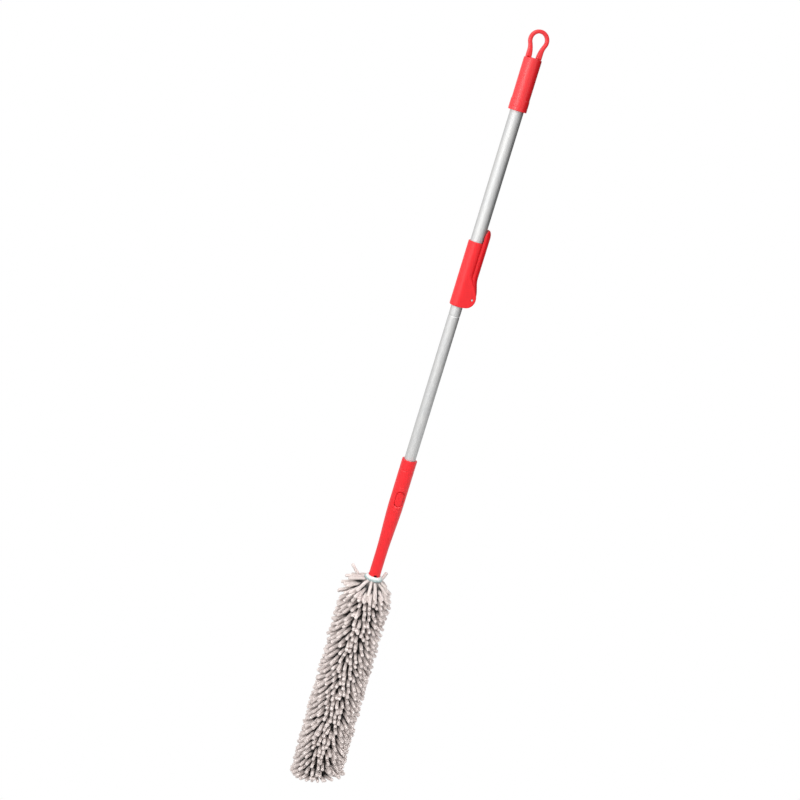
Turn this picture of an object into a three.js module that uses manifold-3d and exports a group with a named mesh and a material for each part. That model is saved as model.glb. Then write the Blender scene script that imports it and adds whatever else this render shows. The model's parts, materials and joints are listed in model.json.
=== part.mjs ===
// Flexible microfibre duster on a telescopic pole. Millimetres, +Z up.
// The duster hangs straight down from its loop. The origin is the top of the loop's hole,
// where a hook bears. The clamp lever is on the +X side and the release button on the -Y side.
// The head bends about Y, the weak axis of the flat strip inside it.

import * as THREE from "three";
import { mergeVertices } from "three/addons/utils/BufferGeometryUtils.js";
import Module from "manifold-3d";

const wasm = await Module();
wasm.setup();

// Clearances
const FIT_GAP = 0.3; // between pieces that are seated or pressed together
const RUN_GAP = 0.2; // between pieces that slide or turn on each other

// Tubes
const OUTER_TUBE_DIAMETER = 22;
const INNER_TUBE_DIAMETER = 19.4;
const OUTER_TUBE_WALL = 0.9;
const INNER_TUBE_WALL = 0.9;
const OUTER_TUBE_SHOW = 213.6; // bare tube between the grip and the clamp
const INNER_TUBE_SHOW = 276; // bare tube between the clamp and the neck handle, pulled out
const INNER_TUBE_OVERLAP = 115; // length left inside the clamp and the outer tube, pulled out
const TUBE_GROOVE_DROP = 17.3; // rolled groove below the clamp
const TUBE_GROOVE_WIDTH = 2.6;
const TUBE_GROOVE_DEPTH = 0.4;

// Hanging loop
const LOOP_HOLE_RADIUS = 10.5;
const LOOP_HOLE_HEIGHT = 37.2;
const LOOP_HOLE_FOOT = 8; // width of the hole at its foot
const LOOP_BAND = 5.9;
const LOOP_STEM_WIDTH = 25.4;
const LOOP_THICKNESS = 9;
const LOOP_EDGE = 1; // chamfer of the loop's edges
const LOOP_SILL = 1; // height of the hole's foot above the grip
const LOOP_ARC_END = THREE.MathUtils.degToRad(25); // round top ends this far below its middle
const LOOP_TONGUE_WIDTH = 15;
const LOOP_TONGUE_LENGTH = 6; // below the grip's top wall
const LOOP_BARB = 1.2;

// Grip
const GRIP_DIAMETER = 28.8;
const GRIP_LENGTH = 82;
const GRIP_TOP_WALL = 4;
const GRIP_TOP_ROUND = 2.4;
const GRIP_CUFF_DIAMETER = 30;
const GRIP_CUFF_LENGTH = 17;

// Clamp
const CLAMP_DIAMETER = 27;
const CLAMP_LENGTH = 109;
const CLAMP_EDGE = 2; // rounding of the barrel's ends
const CLAMP_LIP = 1.8; // height of the lip under the wiper ring
const WIPER_HEIGHT = 4;
const CHEEK_THICKNESS = 2.2;
const CHEEK_RISE = 40; // height of the cheeks above the pin
const CHEEK_REACH = 27; // greatest radius of the cheeks
const RIVET_DROP = 18; // rivet below the top of the clamp
const RIVET_SHANK_DIAMETER = 3.2;
const RIVET_HEAD_DIAMETER = 6.4;
const RIVET_HEAD_HEIGHT = 1.2;

// Lever and brake
const LEVER_WIDTH = 22;
const LEVER_CURVE = 12.4; // radius of the arm's outer face, across the arm
const LEVER_REACH = 18.5; // outer face of the arm, from the pole's axis
const LEVER_BULGE_REACH = 25.8; // outer face over the pin, from the pole's axis
const LEVER_BULGE_RISE = 36; // height above the pin at which the bulge has faded
const LEVER_OVERRUN = 23; // length of the arm above the clamp
const LEVER_TIP_ROUND = 9.5;
const LEVER_SEAT = 0.3; // depth that the arm is let into the barrel
const PIN_DIAMETER = 3;
const PIN_OFFSET = 17.6; // from the pole's axis
const PIN_RISE = 16.6; // above the clamp's bottom
const CAM_LIFT = 0.6; // loss of the cam's radius over the opening angle
const LEVER_OPENING = THREE.MathUtils.degToRad(110);
const SHOE_WIDTH = 10;
const SHOE_HEIGHT = 14;

// Bush and plug of the inner tube
const BUSH_HEAD_HEIGHT = 6;
const BUSH_SPIGOT_LENGTH = 14;
const BUSH_WALL = 2;
const PLUG_SPIGOT_LENGTH = 32;
const PLUG_SHOULDER = 3.6; // solid plug between the tube's end and the button's pocket
const PLUG_POCKET_DEPTH = 10.8; // from the plug's surface to the floor behind the button

// Neck handle
const HANDLE_DIAMETER = 26.2;
const HANDLE_LENGTH = 224;
const HANDLE_EDGE = 0.8;
const SOCKET_DEPTH = 90;
const NECK_DIAMETER = 20.2;
const NECK_LENGTH = 43;
const NECK_BORE_DIAMETER = 14.6;
const TAPER_LENGTH = 104;
const HANDLE_LINE_DROP = 18.5; // shallow ring line below the top
const HANDLE_LINE_DEPTH = 0.35;
const HANDLE_LINE_WIDTH = 1.2;
const NOTCH_WIDTH = 4.6; // mould notch in the neck's front edge
const NOTCH_HEIGHT = 9.5;

// Release button
const BUTTON_WIDTH = 13;
const BUTTON_HEIGHT = 25.5;
const BUTTON_ROUND = 6; // radius of its corners
const BUTTON_DROP = 70.5; // button's middle below the top of the handle
const BUTTON_PROUD = 0.4;
const BUTTON_FLANGE_WIDTH = 10;
const BUTTON_FLANGE_THICKNESS = 1.8;
const BUTTON_FLANGE_REACH = 2.2; // flange beyond the button's ends
const BUTTON_SPRING_THICKNESS = 0.5;
const BUTTON_SPRING_WIDTH = 8;
const RIB_COUNT = 2; // grip ribs above the button, and as many below
const RIB_PITCH = 4;
const RIB_HEIGHT = 1.5;
const RIB_WIDTH = 11;
const RIB_PROUD = 0.4;

// Core of the head
const STRIP_WIDTH = 11;
const STRIP_THICKNESS = 2.6;
const CORE_ROOT_LENGTH = 62;
const CORE_TIP_WIDTH = 15;
const CORE_TIP_THICKNESS = 7;
const CORE_TIP_LENGTH = 9;
const CORE_TIP_ROUND = 2.5;

// Bends of the head
const BEND_COUNT = 4;
const BEND_RANGE = THREE.MathUtils.degToRad(20); // each way at each bend
const BEND_GAP = 0.5; // from a bend's axis to the pieces on either side
const SEGMENT_LENGTH = 100; // from bend to bend

// Foam and hem
const FOAM_DIAMETER = 44;
const HEM_DIAMETER = 32.8;
const HEM_HEIGHT = 8;
const HEM_OVERLAP = 5; // length of neck inside the hem
const HEM_CLOTH = 1.3;
const ELASTIC_SECTION = 3;

// Sleeve and its fingers
const BACKING_THICKNESS = 2;
const SLEEVE_TOP_DIAMETER = 30.4;
const SLEEVE_SHOULDER = 22; // height over which the sleeve widens
const SLEEVE_DOME = 15; // height of its rounded end
const FINGER_LENGTH = 30;
const TOP_FINGER_LENGTH = 25; // in the rows nearest the hem
const TOP_FINGER_ROWS = 2;
const END_FINGER_LENGTH = 18; // on the rounded end
const FINGER_WIDTH = 5.4;
const FINGER_TIP = 3; // length of a finger's pointed end
const FINGER_ROOT = 5; // height of backing that a finger grows from
const FINGER_ROWS = 6; // rows on each length of sleeve
const FINGER_SECTORS = 28; // steps round the sleeve, a finger on every second one
const FINGER_DROOP = THREE.MathUtils.degToRad(44); // below the radial direction
const TOP_FINGER_LIFT = THREE.MathUtils.degToRad(26); // less droop for each row nearer the hem
const FINGER_PARTING = THREE.MathUtils.degToRad(9); // turn away from a bend of the rows beside it
const FINGER_STRAY = 0.07; // greatest stray of a finger's direction, radians
const DOME_ROW_TURNS = [0.2, 0.85]; // tops of the rows on the rounded end, radians from its rim
const DOME_ROW_SPAN = 0.35; // height of those rows, radians
const DOME_ROW_DROOPS = [1.15, 1.4]; // radians
const DOME_INNER_TURNS = [1.1, 0.6, 0]; // rings inside the rounded end, radians from its rim

// Facets
const ROUND_SIDES = 32;
const FINE_SIDES = 64;
const SMALL_SIDES = 16;
const CAM_SIDES = 24;
const CURVE_STEPS = 8;
const PROFILE_STEPS = 4;
const SMALL_STEPS = 2;
const MERGE_DISTANCE = 1e-4; // corners closer than this are one corner

// Worked-out radii
const outerTubeRadius = OUTER_TUBE_DIAMETER / 2;
const outerTubeBore = outerTubeRadius - OUTER_TUBE_WALL;
const innerTubeRadius = INNER_TUBE_DIAMETER / 2;
const innerTubeBore = innerTubeRadius - INNER_TUBE_WALL;
const sleeveBore = outerTubeRadius + FIT_GAP; // bore of what sits on the outer tube
const socketRadius = innerTubeRadius + FIT_GAP; // bore of what goes round the inner tube
const clampRadius = CLAMP_DIAMETER / 2;
const leverSeatRadius = clampRadius - LEVER_SEAT;
const leverAxis = LEVER_REACH - LEVER_CURVE; // middle of the arm's outer curve
const camRadius = PIN_OFFSET - leverSeatRadius - FIT_GAP;
const handleRadius = HANDLE_DIAMETER / 2;
const neckRadius = NECK_DIAMETER / 2;
const coreRootRadius = NECK_BORE_DIAMETER / 2 - FIT_GAP;
const foamRadius = FOAM_DIAMETER / 2;
const backingBore = foamRadius + FIT_GAP;
const backingRadius = backingBore + BACKING_THICKNESS;
const sleeveTopRadius = SLEEVE_TOP_DIAMETER / 2;
const shoulderFlare = (backingRadius - sleeveTopRadius) / SLEEVE_SHOULDER;

// Worked-out heights, from the loop down
const gripTop = -LOOP_HOLE_HEIGHT - LOOP_SILL;
const gripBottom = gripTop - GRIP_LENGTH;
const barbTop = gripTop - GRIP_TOP_WALL - FIT_GAP;
const tongueFoot = barbTop - LOOP_TONGUE_LENGTH;
const outerTubeTop = tongueFoot - FIT_GAP;
const clampTop = gripBottom - OUTER_TUBE_SHOW;
const clampBottom = clampTop - CLAMP_LENGTH;
const wiperBottom = clampBottom + CLAMP_LIP + FIT_GAP;
const outerTubeBottom = wiperBottom + WIPER_HEIGHT + FIT_GAP;
const leverTip = clampTop + LEVER_OVERRUN;
const pinHeight = clampBottom + PIN_RISE;
const innerTubeTop = clampBottom + INNER_TUBE_OVERLAP;
const handleTop = clampBottom - INNER_TUBE_SHOW;
const buttonHeight = handleTop - BUTTON_DROP;
const plugTop = buttonHeight + BUTTON_HEIGHT / 2 + BUTTON_FLANGE_REACH + PLUG_SHOULDER;
const innerTubeBottom = plugTop + FIT_GAP;
const socketFloor = handleTop - SOCKET_DEPTH;
const plugBottom = socketFloor + FIT_GAP;
const handleBottom = handleTop - HANDLE_LENGTH;
const taperBottom = handleBottom + NECK_LENGTH;
const hemTop = handleBottom + HEM_OVERLAP;
const hemBottom = hemTop - HEM_HEIGHT;
const firstBend = hemBottom - BEND_GAP;
const bendHeight = (index) => firstBend - index * SEGMENT_LENGTH;
const headBottom = bendHeight(BEND_COUNT);
const foamBottom = headBottom + SLEEVE_DOME;

// Worked-out depths of the button, along Y from the pole's axis
const pocketFloor = PLUG_POCKET_DEPTH - innerTubeRadius;
const flangeFront = FIT_GAP - Math.sqrt(innerTubeRadius ** 2 - (BUTTON_WIDTH / 2 + FIT_GAP) ** 2);
const buttonBack = flangeFront + BUTTON_FLANGE_THICKNESS;

// Solids and booleans

function solid(geometry) {
  const bare = new THREE.BufferGeometry();
  bare.setAttribute("position", geometry.getAttribute("position"));
  bare.setIndex(geometry.index);
  const merged = mergeVertices(bare, MERGE_DISTANCE);
  const corners = merged.index.array;
  const triangles = [];
  for (let i = 0; i < corners.length; i += 3) {
    const [a, b, c] = corners.slice(i, i + 3);
    if (a !== b && b !== c && c !== a) triangles.push(a, b, c);
  }
  return new wasm.Manifold(
    new wasm.Mesh({
      numProp: 3,
      vertProperties: merged.getAttribute("position").array,
      triVerts: new Uint32Array(triangles),
    }),
  );
}

function geometryOf(body) {
  const { vertProperties, triVerts } = body.getMesh();
  const geometry = new THREE.BufferGeometry();
  geometry.setAttribute("position", new THREE.BufferAttribute(vertProperties, 3));
  geometry.setIndex(new THREE.BufferAttribute(triVerts, 1));
  return geometry;
}

const fold = (operation) => (first, ...others) =>
  geometryOf(others.reduce((body, other) => body[operation](solid(other)), solid(first)));

const join = fold("add");
const cut = fold("subtract");
const common = fold("intersect");

// Basic shapes

// Turns a profile of [radius, z] pairs, drawn with the material on its left, about Z.
function turned(profile, sides = ROUND_SIDES) {
  const points = profile.map(([radius, z]) => new THREE.Vector2(radius, z));
  if (profile[0][0] > 0) points.push(points[0].clone());
  return new THREE.LatheGeometry(points, sides).rotateX(Math.PI / 2);
}

const rod = (radius, bottom, top) => turned([[0, bottom], [radius, bottom], [radius, top], [0, top]]);

const ring = (inner, outer, bottom, top) =>
  turned([[inner, bottom], [outer, bottom], [outer, top], [inner, top]]);

const crossRod = (radius, length) => new THREE.CylinderGeometry(radius, radius, length, SMALL_SIDES);

function block([minX, maxX], [minY, maxY], [minZ, maxZ]) {
  const box = new THREE.BoxGeometry(maxX - minX, maxY - minY, maxZ - minZ);
  return box.translate((minX + maxX) / 2, (minY + maxY) / 2, (minZ + maxZ) / 2);
}

const span = (size, middle = 0) => [middle - size / 2, middle + size / 2];

// Extrudes an outline drawn in X and Z, centred on Y.
function plate(outline, thickness, edge = 0) {
  const geometry = new THREE.ExtrudeGeometry(outline, {
    depth: thickness - 2 * edge,
    bevelEnabled: edge > 0,
    bevelThickness: edge,
    bevelSize: edge,
    bevelOffset: -edge,
    bevelSegments: 1,
    curveSegments: CURVE_STEPS,
  });
  return geometry.translate(0, 0, edge - thickness / 2).rotateX(Math.PI / 2);
}

function outlineOf(points) {
  return new THREE.Shape(points.map(([x, z]) => new THREE.Vector2(x, z)));
}

function roundedRectangle(width, height, radius) {
  const x = width / 2 - radius;
  const z = height / 2 - radius;
  const outline = new THREE.Shape();
  outline.absarc(x, -z, radius, -Math.PI / 2, 0);
  outline.absarc(x, z, radius, 0, Math.PI / 2);
  outline.absarc(-x, z, radius, Math.PI / 2, Math.PI);
  outline.absarc(-x, -z, radius, Math.PI, 1.5 * Math.PI);
  outline.closePath();
  return outline;
}

// Even shares from just above 0 up to 1
const shares = (count) => Array.from({ length: count }, (_, step) => (step + 1) / count);

// Eases from 1 down to 0 as the share goes from 0 to 1.
const fade = (share) => (1 + Math.cos(share * Math.PI)) / 2;

// Materials

const material = (color, roughness, metalness = 0) =>
  new THREE.MeshStandardMaterial({ color, roughness, metalness });

const redPlastic = () => material(0xc8252b, 0.38);
const darkPlastic = () => material(0x2b2b2d, 0.55);
const aluminium = () => material(0xc9c9c6, 0.32, 1);
const steel = () => material(0xd8d8d8, 0.25, 1);
const rubber = () => material(0xdedad2, 0.8);
const foam = () => material(0xe9e3cf, 0.95);
const chenille = () => material(0xcfc4be, 0.95);
const hemCloth = () => material(0xece7e3, 0.9);

function piece(name, geometry, finish) {
  const mesh = new THREE.Mesh(geometry, finish);
  mesh.name = name;
  return mesh;
}

// Hanging loop: a teardrop eye on a stem, with a barbed tongue that snaps into the grip
function hangLoop() {
  const middle = -LOOP_HOLE_RADIUS;
  const outerRadius = LOOP_HOLE_RADIUS + LOOP_BAND;
  const halfStem = LOOP_STEM_WIDTH / 2;
  const halfFoot = LOOP_HOLE_FOOT / 2;
  const halfTongue = LOOP_TONGUE_WIDTH / 2;
  const holeFoot = -LOOP_HOLE_HEIGHT;
  const stemFoot = gripTop + FIT_GAP;
  const arcX = (radius) => radius * Math.cos(LOOP_ARC_END);
  const arcZ = (radius) => middle - radius * Math.sin(LOOP_ARC_END);
  const waist = holeFoot + LOOP_HOLE_RADIUS;
  const bow = (waist + arcZ(outerRadius)) / 2;

  const outline = new THREE.Shape();
  outline.moveTo(halfTongue - LOOP_BARB, tongueFoot);
  outline.lineTo(halfTongue + LOOP_BARB, barbTop);
  outline.lineTo(halfTongue, barbTop);
  outline.lineTo(halfTongue, stemFoot);
  outline.lineTo(halfStem, stemFoot);
  outline.lineTo(halfStem, waist);
  outline.quadraticCurveTo(halfStem, bow, arcX(outerRadius), arcZ(outerRadius));
  outline.absarc(0, middle, outerRadius, -LOOP_ARC_END, Math.PI + LOOP_ARC_END);
  outline.quadraticCurveTo(-halfStem, bow, -halfStem, waist);
  outline.lineTo(-halfStem, stemFoot);
  outline.lineTo(-halfTongue, stemFoot);
  outline.lineTo(-halfTongue, barbTop);
  outline.lineTo(-halfTongue - LOOP_BARB, barbTop);
  outline.lineTo(LOOP_BARB - halfTongue, tongueFoot);
  outline.closePath();

  const hole = new THREE.Path();
  hole.moveTo(-halfFoot, holeFoot);
  hole.quadraticCurveTo(-halfFoot, waist, -arcX(LOOP_HOLE_RADIUS), arcZ(LOOP_HOLE_RADIUS));
  hole.absarc(0, middle, LOOP_HOLE_RADIUS, Math.PI + LOOP_ARC_END, -LOOP_ARC_END, true);
  hole.quadraticCurveTo(halfFoot, waist, halfFoot, holeFoot);
  hole.closePath();
  outline.holes.push(hole);
  return piece("hang_loop", plate(outline, LOOP_THICKNESS, LOOP_EDGE), redPlastic());
}

// Grip: a sleeve on the outer tube, closed at the top but for the slot of the loop's tongue
function grip() {
  const radius = GRIP_DIAMETER / 2;
  const cuffRadius = GRIP_CUFF_DIAMETER / 2;
  const cuffTop = gripBottom + GRIP_CUFF_LENGTH;
  const cuffStep = cuffRadius - radius;
  const shoulder = GRIP_TOP_ROUND * (1 - Math.SQRT1_2);
  const sleeve = turned([
    [0, gripTop - GRIP_TOP_WALL],
    [sleeveBore, gripTop - GRIP_TOP_WALL],
    [sleeveBore, gripBottom],
    [radius, gripBottom],
    [cuffRadius, gripBottom + cuffStep],
    [cuffRadius, cuffTop - cuffStep],
    [radius, cuffTop],
    [radius, gripTop - GRIP_TOP_ROUND],
    [radius - shoulder, gripTop - shoulder],
    [radius - GRIP_TOP_ROUND, gripTop],
    [0, gripTop],
  ]);
  const slot = block(
    span(LOOP_TONGUE_WIDTH + 2 * FIT_GAP),
    span(LOOP_THICKNESS + 2 * FIT_GAP),
    [barbTop, gripTop + FIT_GAP],
  );
  return piece("grip", cut(sleeve, slot), redPlastic());
}

// The opening through tube and barrel in which the brake shoe moves
const shoeWindow = () =>
  block([0, clampRadius], span(SHOE_WIDTH + 2 * FIT_GAP), span(SHOE_HEIGHT + 2 * FIT_GAP, pinHeight));

// The hole for the rivet's shank, through the back of tube and barrel
const rivetHole = () =>
  crossRod(RIVET_SHANK_DIAMETER / 2 + FIT_GAP, clampRadius).translate(0, clampRadius, clampTop - RIVET_DROP);

function outerTube() {
  const tube = ring(outerTubeBore, outerTubeRadius, outerTubeBottom, outerTubeTop);
  return piece("outer_tube", cut(tube, shoeWindow(), rivetHole()), aluminium());
}

// Clamp body: a barrel on the tube with two cheeks that carry the lever's pin
function clampBody() {
  const edge = CLAMP_EDGE * (1 - Math.SQRT1_2);
  const barrel = turned([
    [0, clampBottom],
    [clampRadius - CLAMP_EDGE, clampBottom],
    [clampRadius - edge, clampBottom + edge],
    [clampRadius, clampBottom + CLAMP_EDGE],
    [clampRadius, clampTop - edge],
    [clampRadius - edge, clampTop],
    [0, clampTop],
  ]);

  const swell = CHEEK_REACH - clampRadius;
  const cheekFoot = clampBottom + edge;
  const cheekProfile = [[0, cheekFoot], [clampRadius - edge, cheekFoot]];
  for (const share of shares(PROFILE_STEPS)) {
    const angle = (share * Math.PI) / 2;
    const height = pinHeight - (pinHeight - cheekFoot) * Math.cos(angle);
    cheekProfile.push([clampRadius + swell * Math.sin(angle), height]);
  }
  for (const share of shares(PROFILE_STEPS)) {
    cheekProfile.push([clampRadius + swell * fade(share), pinHeight + CHEEK_RISE * share]);
  }
  cheekProfile.push([0, pinHeight + CHEEK_RISE]);

  const slotWidth = LEVER_WIDTH + 2 * RUN_GAP;
  const cheeks = common(
    turned(cheekProfile, FINE_SIDES),
    block([0, CHEEK_REACH], span(slotWidth + 2 * CHEEK_THICKNESS), [clampBottom, clampTop]),
  );
  const leverSlot = cut(
    block([0, 2 * CHEEK_REACH], span(slotWidth), [clampBottom - CLAMP_EDGE, clampTop + CLAMP_EDGE]),
    rod(leverSeatRadius, clampBottom - 2 * CLAMP_EDGE, clampTop + 2 * CLAMP_EDGE),
  );
  const bore = rod(sleeveBore, wiperBottom - FIT_GAP, clampTop + CLAMP_EDGE);
  const mouth = rod(socketRadius, clampBottom - CLAMP_EDGE, clampTop);
  const pinHole = crossRod(PIN_DIAMETER / 2 + RUN_GAP, 2 * CHEEK_REACH).translate(PIN_OFFSET, 0, pinHeight);
  const body = cut(join(barrel, cheeks), leverSlot, bore, mouth, shoeWindow(), pinHole, rivetHole());
  return piece("clamp_body", body, redPlastic());
}

function leverPin() {
  const length = LEVER_WIDTH + 2 * RUN_GAP + 2 * CHEEK_THICKNESS;
  const pin = crossRod(PIN_DIAMETER / 2, length).translate(PIN_OFFSET, 0, pinHeight);
  return piece("lever_pin", pin, steel());
}

function clampRivet() {
  const shankStart = outerTubeBore + RUN_GAP;
  const headStart = clampRadius + FIT_GAP;
  const headRadius = RIVET_HEAD_DIAMETER / 2;
  const shankRadius = RIVET_SHANK_DIAMETER / 2;
  const profile = [[0, shankStart], [shankRadius, shankStart], [shankRadius, headStart]];
  for (const share of [0, ...shares(SMALL_STEPS)]) {
    const angle = (share * Math.PI) / 2;
    profile.push([headRadius * Math.cos(angle), headStart + RIVET_HEAD_HEIGHT * Math.sin(angle)]);
  }
  profile.at(-1)[0] = 0;
  const rivet = turned(profile, SMALL_SIDES).rotateX(-Math.PI / 2);
  return piece("clamp_rivet", rivet.translate(0, 0, clampTop - RIVET_DROP), steel());
}

function wiperRing() {
  const wiper = ring(socketRadius, outerTubeRadius, wiperBottom, wiperBottom + WIPER_HEIGHT);
  return piece("wiper_ring", wiper, darkPlastic());
}

// Lever: an arm that lies round the barrel, with a cam about the pin at its lower end
function clampLever() {
  const bulgeHeight = pinHeight + camRadius;
  const profile = [
    [leverAxis, pinHeight],
    [PIN_OFFSET + camRadius, pinHeight],
    [LEVER_BULGE_REACH, bulgeHeight],
  ];
  for (const share of shares(PROFILE_STEPS)) {
    const reach = LEVER_REACH + (LEVER_BULGE_REACH - LEVER_REACH) * fade(share);
    profile.push([reach, bulgeHeight + (LEVER_BULGE_RISE - camRadius) * share]);
  }
  const tipDepth = LEVER_REACH - clampRadius;
  for (const share of [0, ...shares(PROFILE_STEPS)]) {
    const angle = (share * Math.PI) / 2;
    const reach = clampRadius + tipDepth * Math.cos(angle);
    profile.push([reach, leverTip - 2 * tipDepth * (1 - Math.sin(angle))]);
  }
  profile.push([leverAxis, leverTip]);
  const curved = turned(profile.map(([reach, z]) => [reach - leverAxis, z]), FINE_SIDES);

  const roundY = LEVER_WIDTH / 2 - LEVER_TIP_ROUND;
  const roundZ = leverTip - LEVER_TIP_ROUND;
  const face = new THREE.Shape();
  face.moveTo(-LEVER_WIDTH / 2, pinHeight);
  face.lineTo(LEVER_WIDTH / 2, pinHeight);
  face.absarc(roundY, roundZ, LEVER_TIP_ROUND, 0, Math.PI / 2);
  face.absarc(-roundY, roundZ, LEVER_TIP_ROUND, Math.PI / 2, Math.PI);
  face.closePath();
  const side = plate(face, 2 * LEVER_BULGE_REACH).rotateZ(Math.PI / 2).translate(LEVER_BULGE_REACH, 0, 0);
  const seat = rod(leverSeatRadius + FIT_GAP, clampBottom, leverTip + LEVER_TIP_ROUND);
  const arm = cut(common(curved.translate(leverAxis, 0, 0), side), seat);

  const camPoints = Array.from({ length: CAM_SIDES }, (_, step) => {
    const angle = (step / CAM_SIDES) * 2 * Math.PI;
    const opening = angle / LEVER_OPENING;
    const closing = (2 * Math.PI - angle) / (2 * Math.PI - LEVER_OPENING);
    const radius = camRadius - CAM_LIFT * Math.min(opening, closing);
    return [PIN_OFFSET - radius * Math.cos(angle), pinHeight - radius * Math.sin(angle)];
  });
  const cam = plate(outlineOf(camPoints), LEVER_WIDTH);
  const pinHole = crossRod(PIN_DIAMETER / 2 + RUN_GAP, 2 * LEVER_WIDTH).translate(PIN_OFFSET, 0, pinHeight);
  return piece("clamp_lever", cut(join(arm, cam), pinHole), redPlastic());
}

function brakeShoe() {
  const bar = block([0, clampRadius], span(SHOE_WIDTH), span(SHOE_HEIGHT, pinHeight));
  const wall = ring(socketRadius, leverSeatRadius, pinHeight - SHOE_HEIGHT, pinHeight + SHOE_HEIGHT);
  return piece("brake_shoe", common(bar, wall), darkPlastic());
}

function innerTube() {
  const groove = clampBottom - TUBE_GROOVE_DROP;
  const half = TUBE_GROOVE_WIDTH / 2;
  const tube = turned([
    [innerTubeBore, innerTubeBottom],
    [innerTubeRadius, innerTubeBottom],
    [innerTubeRadius, groove - half],
    [innerTubeRadius - TUBE_GROOVE_DEPTH, groove],
    [innerTubeRadius, groove + half],
    [innerTubeRadius, innerTubeTop],
    [innerTubeBore, innerTubeTop],
  ]);
  return piece("inner_tube", tube, aluminium());
}

function guideBush() {
  const seat = innerTubeTop + FIT_GAP;
  const headRadius = outerTubeBore - RUN_GAP;
  const spigotRadius = innerTubeBore - FIT_GAP;
  const bore = spigotRadius - BUSH_WALL;
  const bush = turned([
    [bore, innerTubeTop - BUSH_SPIGOT_LENGTH],
    [spigotRadius, innerTubeTop - BUSH_SPIGOT_LENGTH],
    [spigotRadius, seat],
    [headRadius, seat],
    [headRadius, seat + BUSH_HEAD_HEIGHT],
    [bore, seat + BUSH_HEAD_HEIGHT],
  ]);
  return piece("guide_bush", bush, darkPlastic());
}

// The upright rounded bar of the button, or the opening round it
function buttonBar(clearance, front, back) {
  const outline = roundedRectangle(
    BUTTON_WIDTH + 2 * clearance,
    BUTTON_HEIGHT + 2 * clearance,
    BUTTON_ROUND + clearance,
  );
  return plate(outline, back - front).translate(0, (front + back) / 2, buttonHeight);
}

// The flange behind the button, or the pocket that it moves in
function flangeBar(clearance, front, back) {
  const height = BUTTON_HEIGHT + 2 * BUTTON_FLANGE_REACH + 2 * clearance;
  return block(span(BUTTON_FLANGE_WIDTH + 2 * clearance), [front, back], span(height, buttonHeight));
}

// Plug on the end of the inner tube, with the pocket for the button
function polePlug() {
  const spigotRadius = innerTubeBore - FIT_GAP;
  const plug = turned([
    [0, plugBottom],
    [innerTubeRadius, plugBottom],
    [innerTubeRadius, plugTop],
    [spigotRadius, plugTop],
    [spigotRadius, plugTop + PLUG_SPIGOT_LENGTH],
    [0, plugTop + PLUG_SPIGOT_LENGTH],
  ]);
  const window = buttonBar(FIT_GAP, -INNER_TUBE_DIAMETER, pocketFloor);
  const pocket = flangeBar(FIT_GAP, flangeFront - FIT_GAP, pocketFloor);
  return piece("pole_plug", cut(plug, window, pocket), darkPlastic());
}

// Bow spring between the floor of the pocket and the back of the button
function buttonSpring() {
  const foot = pocketFloor - FIT_GAP;
  const crown = buttonBack + FIT_GAP;
  const half = BUTTON_HEIGHT / 2 - BUTTON_ROUND / 2;
  const top = foot - BUTTON_SPRING_THICKNESS;
  const bow = top - crown;
  const outline = new THREE.Shape();
  outline.moveTo(-half, foot);
  outline.quadraticCurveTo(0, foot - 2 * bow, half, foot);
  outline.lineTo(half, top);
  outline.quadraticCurveTo(0, top - 2 * bow, -half, top);
  outline.closePath();
  const strip = { depth: BUTTON_SPRING_WIDTH, bevelEnabled: false, curveSegments: CURVE_STEPS };
  const spring = new THREE.ExtrudeGeometry(outline, strip).translate(0, 0, -BUTTON_SPRING_WIDTH / 2);
  return piece("button_spring", spring.rotateY(-Math.PI / 2).translate(0, 0, buttonHeight), steel());
}

function releaseButton() {
  const faceRadius = handleRadius + BUTTON_PROUD;
  const face = rod(faceRadius, buttonHeight - BUTTON_HEIGHT, buttonHeight + BUTTON_HEIGHT);
  const bar = common(buttonBar(0, -2 * faceRadius, buttonBack), face);
  return piece("release_button", join(bar, flangeBar(0, flangeFront, buttonBack)), redPlastic());
}

// The handle's outer radius at a height
function handleRadiusAt(z) {
  const share = THREE.MathUtils.clamp((z - taperBottom) / TAPER_LENGTH, 0, 1);
  return handleRadius - (handleRadius - neckRadius) * fade(share);
}

// A short raised rib across the front of the handle
function gripRib(height) {
  const radius = handleRadiusAt(height);
  const band = ring(
    radius - 2 * RIB_PROUD,
    radius + RIB_PROUD,
    height - RIB_HEIGHT / 2,
    height + RIB_HEIGHT / 2,
  );
  return common(band, block(span(RIB_WIDTH), [-HANDLE_DIAMETER, 0], span(RIB_PITCH, height)));
}

// Neck handle: a socket for the pole, a smooth taper and a slim neck for the core
function neckHandle() {
  const lineHeight = handleTop - HANDLE_LINE_DROP;
  const boreRadius = NECK_BORE_DIAMETER / 2;
  const profile = [[boreRadius, handleBottom], [neckRadius, handleBottom], [neckRadius, taperBottom]];
  for (const share of shares(CURVE_STEPS)) {
    const height = taperBottom + TAPER_LENGTH * share;
    profile.push([handleRadiusAt(height), height]);
  }
  profile.push(
    [handleRadius, lineHeight - HANDLE_LINE_WIDTH / 2],
    [handleRadius - HANDLE_LINE_DEPTH, lineHeight],
    [handleRadius, lineHeight + HANDLE_LINE_WIDTH / 2],
    [handleRadius, handleTop - HANDLE_EDGE],
    [handleRadius - HANDLE_EDGE, handleTop],
    [socketRadius, handleTop],
    [socketRadius, socketFloor],
    [boreRadius, socketFloor],
  );

  const ribs = [];
  for (let rib = 1; rib <= RIB_COUNT; rib += 1) {
    const offset = BUTTON_HEIGHT / 2 + rib * RIB_PITCH;
    ribs.push(gripRib(buttonHeight + offset), gripRib(buttonHeight - offset));
  }
  const window = buttonBar(FIT_GAP, -HANDLE_DIAMETER, 0);
  const notch = block(span(NOTCH_WIDTH), [-NECK_DIAMETER, 0], span(2 * NOTCH_HEIGHT, handleBottom));
  return piece("neck_handle", cut(join(turned(profile), ...ribs), window, notch), redPlastic());
}

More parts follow.
